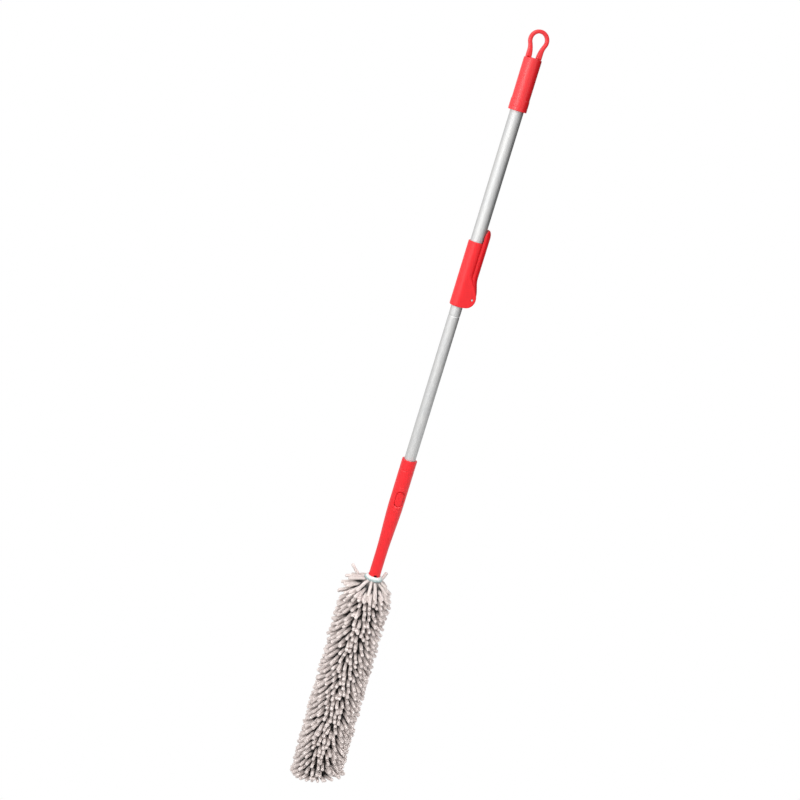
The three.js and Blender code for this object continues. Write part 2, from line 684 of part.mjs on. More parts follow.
// Core: a ferrule in the neck, then lengths of flat strip from bend to bend
function coreRoot() {
  const plug = rod(coreRootRadius, handleBottom, handleBottom + CORE_ROOT_LENGTH);
  const stub = block(
    span(STRIP_THICKNESS),
    span(STRIP_WIDTH),
    [firstBend + BEND_GAP, handleBottom + STRIP_THICKNESS],
  );
  return piece("core_root", join(plug, stub), darkPlastic());
}

function coreStrip(index) {
  const isLast = index + 1 === BEND_COUNT;
  const top = bendHeight(index) - BEND_GAP;
  const bottom = isLast ? foamBottom : bendHeight(index + 1) + BEND_GAP;
  const strip = block(span(STRIP_THICKNESS), span(STRIP_WIDTH), [bottom, top]);
  return piece(`core_strip_${index + 1}`, strip, darkPlastic());
}

function coreTip() {
  const outline = roundedRectangle(CORE_TIP_THICKNESS, CORE_TIP_LENGTH, CORE_TIP_ROUND);
  const tip = plate(outline, CORE_TIP_WIDTH);
  return piece("core_tip", tip.translate(0, 0, foamBottom - FIT_GAP - CORE_TIP_LENGTH / 2), darkPlastic());
}

// The soft pieces on either side of a bend slope away from it by half its range.
// At the first bend the hem above is flat, so the pieces below slope by the whole range.
const topSlope = (index) => Math.tan(index === 0 ? BEND_RANGE : BEND_RANGE / 2);
const bottomSlope = Math.tan(BEND_RANGE / 2);

function foamPad(index) {
  const isLast = index + 1 === BEND_COUNT;
  const top = bendHeight(index) - BEND_GAP;
  const bottom = isLast ? foamBottom : bendHeight(index + 1) + BEND_GAP;
  const footSide = isLast ? bottom : bottom + foamRadius * bottomSlope;
  const topSide = top - foamRadius * topSlope(index);
  const wedge = outlineOf([
    [0, bottom],
    [foamRadius, footSide],
    [foamRadius, topSide],
    [0, top],
    [-foamRadius, topSide],
    [-foamRadius, footSide],
  ]);
  const topRadius = index === 0 ? sleeveTopRadius - BACKING_THICKNESS - FIT_GAP : foamRadius;
  const roll = turned([
    [0, bottom],
    [foamRadius, bottom],
    [foamRadius, top - SLEEVE_SHOULDER],
    [topRadius, top],
    [0, top],
  ]);
  const slot = block(
    span(STRIP_THICKNESS + 2 * FIT_GAP),
    span(STRIP_WIDTH + 2 * FIT_GAP),
    [bottom - BEND_GAP, top + BEND_GAP],
  );
  const pad = cut(common(plate(wedge, 2 * FOAM_DIAMETER), roll), slot);
  return piece(`foam_pad_${index + 1}`, pad, foam());
}

// Hem: a folded band of cloth round the neck, open inwards, with an elastic in the fold
function hemBand() {
  const inner = neckRadius + FIT_GAP;
  const outer = HEM_DIAMETER / 2;
  const band = turned([
    [inner, hemBottom],
    [outer - HEM_CLOTH, hemBottom],
    [outer, hemBottom + HEM_CLOTH],
    [outer, hemTop - HEM_CLOTH],
    [outer - HEM_CLOTH, hemTop],
    [inner, hemTop],
    [inner, hemTop - HEM_CLOTH],
    [outer - HEM_CLOTH, hemTop - HEM_CLOTH],
    [outer - HEM_CLOTH, hemBottom + HEM_CLOTH],
    [inner, hemBottom + HEM_CLOTH],
  ]);
  return piece("hem_band", band, hemCloth());
}

function hemElastic() {
  const inner = neckRadius + FIT_GAP;
  const bottom = hemBottom + HEM_CLOTH + FIT_GAP;
  const elastic = ring(inner, inner + ELASTIC_SECTION, bottom, bottom + ELASTIC_SECTION);
  return piece("hem_elastic", elastic, rubber());
}

// A repeatable stray for the finger at a row and sector
function stray(row, sector) {
  const share = (row * Math.SQRT2 + sector * Math.E) % 1;
  return FINGER_STRAY * (2 * share - 1);
}

const sectorAngle = (sector) => (sector / FINGER_SECTORS) * 2 * Math.PI;

// The points of one ring of the sleeve. A slope lets the ring down towards +X and -X, along
// the cone that a flare gives, and a negative slope lifts it.
function ringPoints({ radius, z, slope = 0, flare = 0 }) {
  if (radius === 0) return [new THREE.Vector3(0, 0, z)];
  return Array.from({ length: FINGER_SECTORS }, (_, sector) => {
    const angle = sectorAngle(sector);
    const fall = slope * Math.abs(Math.cos(angle));
    const drop = (fall * radius) / (1 - fall * flare);
    const reach = radius + flare * drop;
    return new THREE.Vector3(reach * Math.cos(angle), reach * Math.sin(angle), z - drop);
  });
}

// The collar and the tip of a finger that grows from a root point on the backing
function fingerPoints(root, sector, { row, droop, length }) {
  const turn = sectorAngle(sector + 0.5) + stray(row, sector);
  const sink = droop + stray(sector, row);
  const level = new THREE.Vector3(Math.cos(turn), Math.sin(turn), 0);
  const out = level.multiplyScalar(Math.cos(sink)).setZ(-Math.sin(sink));
  const across = new THREE.Vector3(-Math.sin(turn), Math.cos(turn), 0).multiplyScalar(FINGER_WIDTH / 2);
  const up = new THREE.Vector3().crossVectors(out, across);
  const collar = [[-1, 1], [1, 1], [1, -1], [-1, -1]].map(([side, rise]) => {
    const end = root.clone().addScaledVector(out, length - FINGER_TIP);
    return end.addScaledVector(across, side).addScaledVector(up, rise);
  });
  return { collar, tip: root.clone().addScaledVector(out, length) };
}

// A closed shell on rings listed round its section. Where a ring has fingers, they grow
// from every second or fourth step of the backing between it and the next ring.
function fingeredShell(rings) {
  const points = [];
  const triangles = [];
  const add = (point) => points.push(point) - 1;
  const loops = rings.map((section) => ringPoints(section).map(add));

  const addFinger = (corners, sector, fingers) => {
    const root = new THREE.Vector3();
    corners.forEach((corner) => root.addScaledVector(points[corner], 1 / corners.length));
    const { collar, tip } = fingerPoints(root, sector, fingers);
    const rim = collar.map(add);
    const end = add(tip);
    corners.forEach((corner, side) => {
      const next = (side + 1) % corners.length;
      triangles.push(corner, rim[next], corners[next]);
      triangles.push(corner, rim[side], rim[next]);
      triangles.push(rim[side], end, rim[next]);
    });
  };

  loops.forEach((above, band) => {
    const below = loops[(band + 1) % loops.length];
    const { fingers } = rings[band];
    if (above.length === 1 && below.length === 1) return;
    for (let sector = 0; sector < FINGER_SECTORS; sector += 1) {
      const next = (sector + 1) % FINGER_SECTORS;
      if (above.length === 1) {
        triangles.push(above[0], below[sector], below[next]);
      } else if (below.length === 1) {
        triangles.push(above[sector], below[0], above[next]);
      } else if (fingers && (sector + fingers.phase) % fingers.every === 0) {
        addFinger([above[sector], above[next], below[next], below[sector]], sector, fingers);
      } else {
        triangles.push(above[sector], below[sector], below[next]);
        triangles.push(above[sector], below[next], above[next]);
      }
    }
  });

  const geometry = new THREE.BufferGeometry().setFromPoints(points);
  geometry.setIndex(triangles);
  return geometry;
}

// The rings of the sleeve's rounded end, outside with its fingers and then inside
function domeRings(top) {
  const onDome = (radius, height, turn, fingers) => ({
    radius: radius * Math.cos(turn),
    z: top - height * Math.sin(turn),
    fingers,
  });
  const outside = DOME_ROW_TURNS.flatMap((turn, row) => {
    const every = 2 * (row + 1);
    const fingers = { row, every, phase: row, droop: DOME_ROW_DROOPS[row], length: END_FINGER_LENGTH };
    return [
      onDome(backingRadius, SLEEVE_DOME, turn, fingers),
      onDome(backingRadius, SLEEVE_DOME, turn + DOME_ROW_SPAN),
    ];
  });
  const innerHeight = SLEEVE_DOME - BACKING_THICKNESS;
  const inside = DOME_INNER_TURNS.map((turn) => onDome(backingBore, innerHeight, turn));
  return [...outside, { radius: 0, z: top - SLEEVE_DOME }, { radius: 0, z: top - innerHeight }, ...inside];
}

// One length of the sleeve: backing from bend to bend with staggered rows of fingers.
// The first length narrows to the hem, and the last is closed by a dome.
function sleeve(index) {
  const isFirst = index === 0;
  const isLast = index + 1 === BEND_COUNT;
  const slope = topSlope(index);
  const flare = isFirst ? shoulderFlare : 0;
  const topRadius = isFirst ? sleeveTopRadius : backingRadius;
  const top = bendHeight(index) - BEND_GAP;
  const bottom = isLast ? foamBottom : bendHeight(index + 1) + BEND_GAP;
  const firstRow = top - (slope * topRadius) / (1 - slope * flare) - BEND_GAP;
  const lastRow = bottom + (isLast ? 0 : backingRadius * bottomSlope) + BEND_GAP + FINGER_ROOT;
  const rowPitch = (firstRow - lastRow) / (FINGER_ROWS - 1);
  const radiusAt = (z) => Math.min(topRadius + flare * (top - z), backingRadius);

  const rings = [{ radius: topRadius, z: top, slope, flare }];
  for (let row = 0; row < FINGER_ROWS; row += 1) {
    const z = firstRow - row * rowPitch;
    const lifts = isFirst ? Math.max(TOP_FINGER_ROWS - row, 0) : 0;
    const belowBend = !isFirst && row === 0 ? FINGER_PARTING : 0;
    const aboveBend = !isLast && row + 1 === FINGER_ROWS ? FINGER_PARTING : 0;
    const droop = FINGER_DROOP - lifts * TOP_FINGER_LIFT + belowBend - aboveBend;
    const length = lifts > 0 ? TOP_FINGER_LENGTH : FINGER_LENGTH;
    const fingers = { row, every: 2, phase: row % 2, droop, length };
    rings.push({ radius: radiusAt(z), z, fingers });
    rings.push({ radius: radiusAt(z - FINGER_ROOT), z: z - FINGER_ROOT });
  }
  if (isLast) {
    rings.push(...domeRings(bottom));
  } else {
    rings.push({ radius: backingRadius, z: bottom, slope: -bottomSlope });
    rings.push({ radius: backingBore, z: bottom, slope: -bottomSlope });
  }
  if (isFirst) rings.push({ radius: backingBore, z: top - SLEEVE_SHOULDER });
  rings.push({ radius: topRadius - BACKING_THICKNESS, z: top, slope, flare });
  return piece(`sleeve_${index + 1}`, fingeredShell(rings), chenille());
}

const duster = new THREE.Group();
duster.add(hangLoop(), grip(), outerTube());
duster.add(clampBody(), leverPin(), clampRivet(), wiperRing(), clampLever(), brakeShoe());
duster.add(innerTube(), guideBush(), polePlug(), buttonSpring(), releaseButton());
duster.add(neckHandle(), coreRoot(), hemBand(), hemElastic());
for (let index = 0; index < BEND_COUNT; index += 1) {
  duster.add(coreStrip(index), foamPad(index), sleeve(index));
}
duster.add(coreTip());

export default duster;
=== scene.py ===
"""Looks of the flexible microfibre duster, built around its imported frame.

Metres, in the frame of the CAD part: the duster hangs straight down from its loop, +Z up, with
the clamp lever towards +X and the release button towards -Y.
"""

import json
from math import ceil, cos, exp, hypot, inf, pi, radians, sin, sqrt, tan

import bmesh
import bpy
import numpy as np
from mathutils import Matrix, Vector


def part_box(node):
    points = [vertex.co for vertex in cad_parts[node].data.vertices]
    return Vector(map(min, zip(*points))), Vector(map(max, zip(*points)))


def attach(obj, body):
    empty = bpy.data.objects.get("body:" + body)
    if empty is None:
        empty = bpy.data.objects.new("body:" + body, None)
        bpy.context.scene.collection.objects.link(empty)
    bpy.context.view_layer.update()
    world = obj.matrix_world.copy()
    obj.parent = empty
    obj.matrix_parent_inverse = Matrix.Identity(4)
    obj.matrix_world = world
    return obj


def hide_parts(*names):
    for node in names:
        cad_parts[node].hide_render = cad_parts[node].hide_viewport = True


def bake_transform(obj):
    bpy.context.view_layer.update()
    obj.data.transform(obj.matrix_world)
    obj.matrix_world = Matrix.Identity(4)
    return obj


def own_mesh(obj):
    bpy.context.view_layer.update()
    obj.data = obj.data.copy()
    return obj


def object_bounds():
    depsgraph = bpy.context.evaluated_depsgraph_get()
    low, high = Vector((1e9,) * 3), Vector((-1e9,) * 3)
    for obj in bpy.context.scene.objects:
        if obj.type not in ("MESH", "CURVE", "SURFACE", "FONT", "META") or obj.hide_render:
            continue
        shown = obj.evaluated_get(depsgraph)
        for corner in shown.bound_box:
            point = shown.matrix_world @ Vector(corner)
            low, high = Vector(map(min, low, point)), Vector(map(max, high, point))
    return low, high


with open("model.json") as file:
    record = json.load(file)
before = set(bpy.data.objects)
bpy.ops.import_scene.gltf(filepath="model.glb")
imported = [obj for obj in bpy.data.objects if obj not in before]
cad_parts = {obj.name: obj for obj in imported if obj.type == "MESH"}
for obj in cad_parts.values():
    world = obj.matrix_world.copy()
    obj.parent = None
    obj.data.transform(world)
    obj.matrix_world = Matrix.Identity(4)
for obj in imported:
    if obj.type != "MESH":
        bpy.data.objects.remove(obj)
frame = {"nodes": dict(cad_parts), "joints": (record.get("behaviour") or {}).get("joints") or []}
cad_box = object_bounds()
draw = np.random.default_rng(7)

# Camera: where it stands round the duster, and how far the duster leans in the picture
CAMERA_AIM = Vector((-0.0437, 0.0109, -0.6237))
CAMERA_DISTANCE = 2.009
CAMERA_AZIMUTH = radians(-14)
CAMERA_ELEVATION = radians(15)
CAMERA_ROLL = radians(16.74)
CAMERA_LENS = 54
CAMERA_SENSOR = 36
LEVEL = np.array([sin(CAMERA_AZIMUTH), -cos(CAMERA_AZIMUTH), 0])  # to the camera
RIGHT = np.array([cos(CAMERA_AZIMUTH), sin(CAMERA_AZIMUTH), 0])  # in the picture
UP = np.array([0, 0, 1])

# The way down for the soft fingers, as the duster stands on its end, leaning back and to one side
LEAN_SIDE = radians(16.4)
LEAN_BACK = radians(15)
STAND_HEIGHT = -1.3535  # where the ground under the leaning duster meets its axis

# Clearances, small rounds and the fineness of meshes
FIT_GAP = 0.0003
SMALL_ROUND = 0.0003
ROUND_SIDES = 128
PIN_SIDES = 48
CORNER_STEPS = 6
BAR_STEPS = 12
BODY_STEP = 0.01
TUBE_STEP = 0.012
HEM_STEP = 0.0012
SHARP_EDGE = radians(35)
WELD = 1e-7
TINY = 1e-6  # keeps a direction from vanishing
MOULD_VOXEL = 0.00042
MOULD_ROUNDS = 8
MOULD_EASE = 0.5

# Tubes
TUBE_WALL = 0.0009
GROOVE_DROP = 0.0173
GROOVE_WIDTH = 0.0028
GROOVE_DEPTH = 0.0006

# Hanging loop
LOOP_HOLE_RADIUS = 0.0105
LOOP_HOLE_HEIGHT = 0.0372
LOOP_HOLE_FOOT = 0.008
LOOP_STEM_WIDTH = 0.0254
LOOP_TONGUE_WIDTH = 0.015
LOOP_TONGUE_LENGTH = 0.006
LOOP_BARB = 0.0012
LOOP_EDGE = 0.0022
LOOP_EDGE_STEPS = 4
LOOP_ARC_END = radians(25)
LOOP_ARC_STEPS = 48
LOOP_BEND_STEPS = 14

# Grip
GRIP_RADIUS = 0.0144
GRIP_TOP_WALL = 0.004
GRIP_TOP_ROUND = 0.0015
CUFF_LENGTH = 0.017
CUFF_LINE_RISE = 0.0062
CUFF_LINE_DEPTH = 0.0004

# Clamp and lever
CLAMP_RADIUS = 0.0135
CLAMP_ROUND = 0.002
CHEEK_RISE = 0.040
CHEEK_REACH = 0.027
CHEEK_THICKNESS = 0.0022
CHEEK_BELOW = np.linspace(0.1, 1, 12)  # shares of its curve below and above the pin
CHEEK_ABOVE = np.linspace(0.06, 1, 16)
LEVER_WIDTH = 0.022
LEVER_CURVE = 0.0114
LEVER_REACH = 0.0196
LEVER_BULGE_REACH = 0.0258
LEVER_BULGE_RISE = 0.036
LEVER_BULGE_SHARES = np.linspace(0, 1, 16)
LEVER_TIP_ROUND = 0.0095
LEVER_TIP_SHARES = np.linspace(0, 1, 10)
LEVER_SLOT_GAP = 0.0003
LEVER_SEAT = 0.0003
CAM_RADIUS = 0.0041
CAM_LIFT = 0.0006  # loss of the cam's radius over the opening angle
PIN_RADIUS = 0.0015
RIVET_DROP = 0.018
RIVET_SHANK_RADIUS = 0.0016

# Neck handle and button
HANDLE_RADIUS = 0.0131
HANDLE_EDGE = 0.0008
HANDLE_STEPS = 0.003, 0.0004  # of its outline, below the button and beside it
HANDLE_FRONT = 36  # degrees to each side of its front that have finer faces
HANDLE_TURNS = 1.2, 4  # degrees between faces, there and elsewhere
SOCKET_DEPTH = 0.090
NECK_RADIUS = 0.0101
NECK_LENGTH = 0.043
NECK_BORE = 0.0073
TAPER_LENGTH = 0.104
HANDLE_LINE_DROP = 0.0185
HANDLE_LINE_DEPTH = 0.0004
HANDLE_LINE_WIDTH = 0.0008
NOTCH_WIDTH = 0.0052
NOTCH_HEIGHT = 0.0072
BUTTON_WIDTH = 0.013
BUTTON_HEIGHT = 0.0255
BUTTON_ROUND = 0.006
BUTTON_DROP = 0.0705
BUTTON_PROUD = 0.0004
BUTTON_EDGE = 0.0009
BUTTON_DIMPLE = 0.0008
DIMPLE_REACH = BUTTON_WIDTH / 3, BUTTON_HEIGHT / 3.6
BUTTON_INSETS = 0, 0.0001, 0.0003, 0.0005, 0.0008, 0.0014, 0.0022, 0.0032, 0.0042, 0.0052
BUTTON_GAP = 0.0007
BUTTON_HOLE = BUTTON_WIDTH + 2 * BUTTON_GAP, BUTTON_HEIGHT + 2 * BUTTON_GAP, BUTTON_ROUND
FLANGE_WIDTH = 0.010
FLANGE_THICKNESS = 0.0018
FLANGE_REACH = 0.0022
SPRING_THICKNESS = 0.0005
SPRING_STEPS = 32
RIB_COUNT = 2
RIB_PITCH = 0.004
RIB_HEIGHT = 0.0015
RIB_WIDTH = 0.011
RIB_PROUD = 0.0005
RIM_WIDTH = 0.002
RIM_DEPTH = 0.0011

# Head
HEM_RADIUS = 0.0164
HEM_THICKNESS = 0.0009
HEM_TOP_DROP = 0.001
HEM_LIP = 1.6  # thicknesses, at its top
HEM_KNEE = 0.0024  # height of its widest part
HEM_RIPPLES = 16
HEM_RIPPLE_DEPTH = 0.00025
HEM_RIPPLE_DRIFT = 1.3, 3  # how uneven the ripples are, and how often round the hem
FOAM_RADIUS = 0.022
FOAM_ROWS = 20
BACKING_THICKNESS = 0.002
BACKING_RADIUS = FOAM_RADIUS + FIT_GAP + BACKING_THICKNESS
BACKING_ROWS = 24
SLEEVE_TOP_RADIUS = 0.0152
SLEEVE_SHOULDER = 0.022
SLEEVE_DOME = 0.015
DOME_STEPS = 8
STRIP_WIDTH = 0.011
STRIP_THICKNESS = 0.0026

# Chenille fingers
FINGER_RADIUS = 0.0029
FINGER_LENGTH = 0.0258
FINGER_PITCH = 0.00636
ROW_PITCH = 0.0107
FIRST_ROW_DROP = 0.0015
FIRST_ROW_PITCH = 0.0075
DOME_TURNS = 0.15, 1.5  # of the first and last row on the head's round end
FINGER_SIDES = 12
FINGER_STEPS = 9
ROOT_GIRTH = 0.75  # share of the full girth
ROOT_TAPER = 0.4  # share of the length over which the girth fills out
TIP_STEPS = 3
TIP_ROUND = 0.55  # length of the round end, as a share of the radius
TIP_FLAT = 0.25  # share of a step that is left flat at the tip
SIDE_DROOP = radians(36)
FRONT_DROOP = radians(6)  # at front and back
SIDE_SHARE = 0.8  # how far round to the sides the fingers reach their full droop
DROOP_GAIN = radians(4)  # from a finger's root to its tip
COMB = 1.0, 0.95  # how far the fingers on the picture's left and right are brushed sideways
COMB_EDGE = 2, 3  # how closely that keeps to the edges, on the left and the right
GATHER = 0.65  # how far the fingers at the front are brushed to lie side by side
ROW_TWIST = radians(340)  # of the columns of fingers round the head, in a metre of it
ROW_TILT = tan(radians(22))  # of the rows, which are higher at the front
ROW_TILT_REACH = 0.03  # from the head's ends, over which the rows come level
HEM_FRONT_DROOP = radians(54)  # of the fingers that hang in front, nearest the hem
HEM_SIDE_DROOPS = radians(15), radians(45)  # on the picture's left and right
HEM_CURL = 0.3  # share of that droop which is gained from root to tip
HEM_REACH = 0.030  # length of head over which the fingers settle to their usual droop
GROUND_REACH = 0.035  # height over which the fingers settle on the ground
PLACE_STRAY = 0.13  # share of a pitch
DIRECTION_STRAY = radians(1.8), radians(4.5)  # at the sides, and at front and back
SWAY = radians(1.6)  # drift of direction shared by neighbours
SWAY_WAVES = 6
SWAY_PITCHES = 0.03, 0.09
LENGTH_STRAY = 0.09
LENGTH_LEAN = -0.12, 0.22  # how much shorter on the picture's right, at the foot and at the top
GIRTH_STRAY = 0.08
PILE_BUMP = 0.035
PILE_LIMITS = 0.8, 1.2
ROOT_SINK = 0.001  # of a finger's root into the backing
PALE_REACH = 0.013  # length of head below the hem over which the fingers' roots are pale, with their painted root shade lifted
PALE_SHARE = 0.8

# Stray fingers that stand up beside the hem: side of the picture, drop below the hem, lift, length share
SPRIGS = [(-1, 0.008, radians(42), 1.15), (1, 0.004, radians(70), 0.8)]
SPRIG_BACK = 0.25  # how far they grow behind the outline

# Light
KEY_TURNS = -26, -56, -86  # degrees to the right of the camera
KEY_POWERS = {-0.1: (1.8, 1.2, 0.5), -0.57: (1.6, 0.9, 0.5)}  # by height
KEY_DISTANCE = 1.2
KEY_SIZE = 0.6, 0.35
SOFT_SIZE = 1.7, 1.7
HEAD_LIGHT_SPREAD = radians(36)
WORLD_LIGHT = 0.6
CARD_TURNS = np.radians(np.linspace(62, 160, 21))
CARD_DISTANCE = 0.5
CARD_HEIGHTS = -0.7, 0.35
FLOOR_SIZE = 30.0
FLOOR_DROP = 0.6


# Meshes


def placed(name, data):
    """A new object in the scene."""
    made = bpy.data.objects.new(name, data)
    bpy.context.scene.collection.objects.link(made)
    return made


def piece_of(name, mesh, material):
    """A new object of a mesh, with its material."""
    mesh.materials.clear()
    mesh.materials.append(material)
    return placed(name, mesh)


def raw_mesh(name, points, faces):
    mesh = bpy.data.meshes.new(name)
    mesh.from_pydata([tuple(point) for point in points], [], [tuple(face) for face in faces])
    return mesh


def mesh_of(name, points, faces):
    """A mesh with its doubled points merged, its faces turned outwards and its soft edges smooth."""
    mesh = raw_mesh(name, points, faces)
    shaped = bmesh.new()
    shaped.from_mesh(mesh)
    bmesh.ops.remove_doubles(shaped, verts=shaped.verts, dist=WELD)
    bmesh.ops.dissolve_degenerate(shaped, edges=shaped.edges, dist=WELD)
    bmesh.ops.recalc_face_normals(shaped, faces=shaped.faces)
    shaped.to_mesh(mesh)
    shaped.free()
    smoothed(mesh)
    return mesh


def smoothed(mesh):
    mesh.shade_smooth()
    mesh.set_sharp_from_angle(angle=SHARP_EDGE)


def bake(piece):
    """Makes the modifiers' result the piece's own mesh."""
    graph = bpy.context.evaluated_depsgraph_get()
    shaped = bpy.data.meshes.new_from_object(piece.evaluated_get(graph))
    plain = piece.data
    piece.modifiers.clear()
    piece.data = shaped
    bpy.data.meshes.remove(plain)


def combine(piece, operation, *tools):
    """Cuts, joins or intersects a piece with other objects, which are used up."""
    for tool in tools:
        modifier = piece.modifiers.new("combine", "BOOLEAN")
        modifier.operation = operation
        modifier.solver = "EXACT"
        modifier.object = tool
        bake(piece)
        bpy.data.objects.remove(tool)
    smoothed(piece.data)
    return piece


def moulded(piece):
    """Gives a piece the small soft rounds of a moulding."""
    remesh = piece.modifiers.new("remesh", "REMESH")
    remesh.mode = "VOXEL"
    remesh.voxel_size = MOULD_VOXEL
    smooth = piece.modifiers.new("smooth", "SMOOTH")
    smooth.factor = MOULD_EASE
    smooth.iterations = MOULD_ROUNDS
    bake(piece)
    piece.data.shade_smooth()
    return piece


def at(x, y):
    """A point of an outline."""
    return Vector((x, y))


def rounded(corners, steps=CORNER_STEPS):
    """A closed outline through corners of (x, y, radius), with an arc of that radius at each."""
    outline = []
    for index, (x, y, radius) in enumerate(corners):
        here = at(x, y)
        if radius == 0:
            outline.append(here)
            continue
        before = (Vector(corners[index - 1][:2]) - here).normalized()
        after = (Vector(corners[(index + 1) % len(corners)][:2]) - here).normalized()
        half = before.angle(after) / 2
        centre = here + (before + after).normalized() * radius / sin(half)
        start = here + before * radius / tan(half) - centre
        end = here + after * radius / tan(half) - centre
        for step in range(steps + 1):
            outline.append(centre + start.lerp(end, step / steps).normalized() * radius)
    return outline


def corners_of(low, high):
    """The corners of a rectangle between two of them."""
    return [(low[0], low[1]), (high[0], low[1]), (high[0], high[1]), (low[0], high[1])]


def rounded_bar(width, height, radius):
    """The outline of a rectangle with round corners, about its middle."""
    half = width / 2, height / 2
    corners = corners_of((-half[0], -half[1]), half)
    return rounded([(*corner, radius) for corner in corners], BAR_STEPS)


def divided(outline, longest):
    """A closed outline with points added, so that no stretch is longer than a length."""
    points = []
    for here, after in zip(outline, outline[1:] + outline[:1]):
        count = max(1, ceil((after - here).length / longest))
        points += [here.lerp(after, step / count) for step in range(count)]
    return points


def round_turns(count):
    """Angles evenly round a circle."""
    return np.linspace(0, 2 * pi, count, endpoint=False)


def turned(name, outline, material, turns=round_turns(ROUND_SIDES), relief=None):
    """A closed (radius, z) outline turned about Z, with a change of radius where a relief gives one."""
    radius, height = np.array(outline).T
    angle, radius = np.meshgrid(turns, radius, indexing="ij")
    height = np.broadcast_to(height, angle.shape)
    if relief is not None:
        radius = radius + relief(angle, radius, height)
    points = np.stack([radius * np.cos(angle), radius * np.sin(angle), height], -1).reshape(-1, 3)
    return piece_of(name, mesh_of(name, points, grid_faces(*angle.shape, True, True)), material)


def grid_faces(rows, columns, close_rows, close_columns):
    """The quads of a grid of points, wrapped round where it closes."""
    faces = []
    for row in range(rows if close_rows else rows - 1):
        here, after = row * columns, (row + 1) % rows * columns
        for column in range(columns if close_columns else columns - 1):
            beside = (column + 1) % columns
            faces.append((here + column, after + column, after + beside, here + beside))
    return faces


def prism(name, outline, depth, turn, place):
    """A closed outline extruded both ways by half a depth, then turned and placed."""
    count = len(outline)
    points = [Vector((x, y, side * depth / 2)) for side in (-1, 1) for x, y in outline]
    faces = [range(count), range(2 * count - 1, count - 1, -1)]
    faces += [(i, (i + 1) % count, count + (i + 1) % count, count + i) for i in range(count)]
    set_up = Matrix.Translation(place) @ turn.to_4x4()
    mesh = mesh_of(name, [set_up @ point for point in points], faces)
    return piece_of(name, mesh, plain_tool)


def tool_block(low, high):
    """A box between two corners, to cut with."""
    low, high = Vector(low), Vector(high)
    middle = (0, 0, (low.z + high.z) / 2)
    return prism("tool_block", corners_of(low, high), high.z - low.z, Matrix.Identity(3), middle)


def tool_rod(radius, low, high):
    """A rod on the pole's axis, to cut with."""
    return turned("tool_rod", corners_of(at(0, low), at(radius, high)), plain_tool)


def tool_pin(radius, length, place):
    """A rod along Y, to cut with."""
    outline = [at(radius * cos(turn), radius * sin(turn)) for turn in round_turns(PIN_SIDES)]
    return prism("tool_pin", outline, length, ALONG_Y, place)


ALONG_Y = Matrix.Rotation(pi / 2, 3, "X")  # an outline's x and y become x and z
ALONG_X = Matrix.Rotation(pi / 2, 3, "Z") @ ALONG_Y  # an outline's x and y become y and z


def fade(share):
    """Eases from 1 down to 0 as a share goes from 0 to 1."""
    return (1 + np.cos(np.clip(share, 0, 1) * pi)) / 2


def between(start, end, share):
    return start + (end - start) * share


# Materials


class Finish:
    """A Principled material whose constants are set on its sockets, with help for its textures."""

    def __init__(self, name, **constants):
        self.material = bpy.data.materials.new(name)
        self.material.use_nodes = True
        self.nodes = self.material.node_tree.nodes
        self.links = self.material.node_tree.links
        self.shader = self.nodes["Principled BSDF"]
        for socket, value in constants.items():
            self.shader.inputs[socket.replace("_", " ")].default_value = value

    def node(self, kind, inputs, **settings):
        """A new node with its settings, and a value or a link on each input."""
        made = self.nodes.new("ShaderNode" + kind)
        for setting, value in settings.items():
            setattr(made, setting, value)
        for socket, value in inputs.items():
            if isinstance(value, bpy.types.NodeSocket):
                self.links.new(value, made.inputs[socket])
            else:
                made.inputs[socket].default_value = value
        return made

    def place(self, stretch=(1, 1, 1)):
        """The point on the piece, stretched."""
        where = self.node("TexCoord", {}).outputs["Object"]
        return self.node("Mapping", {"Vector": where, "Scale": stretch}).outputs["Vector"]

    def noise(self, scale, detail=3, stretch=(1, 1, 1)):
        inputs = {"Vector": self.place(stretch), "Scale": scale, "Detail": detail}
        return self.node("TexNoise", inputs).outputs["Fac"]

    def cells(self, scale):
        return self.node("TexVoronoi", {"Vector": self.place(), "Scale": scale}).outputs["Distance"]

    def bands(self, scale, distortion=0.0):
        """Level stripes."""
        inputs = {"Vector": self.place(), "Scale": scale, "Distortion": distortion}
        return self.node("TexWave", inputs, wave_type="BANDS", bands_direction="Z").outputs["Fac"]

    def height(self, low, high):
        """A share that grows from 0 at a low height on the piece to 1 at a high one."""
        where = self.node("TexCoord", {}).outputs["Object"]
        upright = self.node("SeparateXYZ", {"Vector": where}).outputs["Z"]
        inputs = {"Value": upright, "From Min": low, "From Max": high}
        return self.node("MapRange", inputs).outputs["Result"]

    def attribute(self, name):
        return self.node("Attribute", {}, attribute_name=name).outputs["Fac"]

    def ramp(self, share, *stops):
        """Colours at given places, picked by a share."""
        made = self.node("ValToRGB", {"Fac": share})
        elements = made.color_ramp.elements
        while len(elements) < len(stops):
            elements.new(1.0)
        for element, (position, color) in zip(elements, stops):
            element.position = position
            element.color = (*color, 1.0)
        return made.outputs["Color"]

    def spread(self, share, low, high):
        """A share stretched from low to high."""
        return self.node("MapRange", {"Value": share, "To Min": low, "To Max": high}).outputs["Result"]

    def times(self, first, second):
        """The product of two colours."""
        inputs = {"Factor": 1.0, 6: first, 7: second}
        return self.node("Mix", inputs, data_type="RGBA", blend_type="MULTIPLY").outputs[2]

    def bump(self, height, depth, strength, onto=None):
        inputs = {"Height": height, "Distance": depth, "Strength": strength}
        if onto is not None:
            inputs["Normal"] = onto
        return self.node("Bump", inputs).outputs["Normal"]

    def use(self, color, roughness, normal):
        """The material, with what its textures lead."""
        for socket, output in (("Base Color", color), ("Roughness", roughness), ("Normal", normal)):
            self.links.new(output, self.shader.inputs[socket])
        return self.material


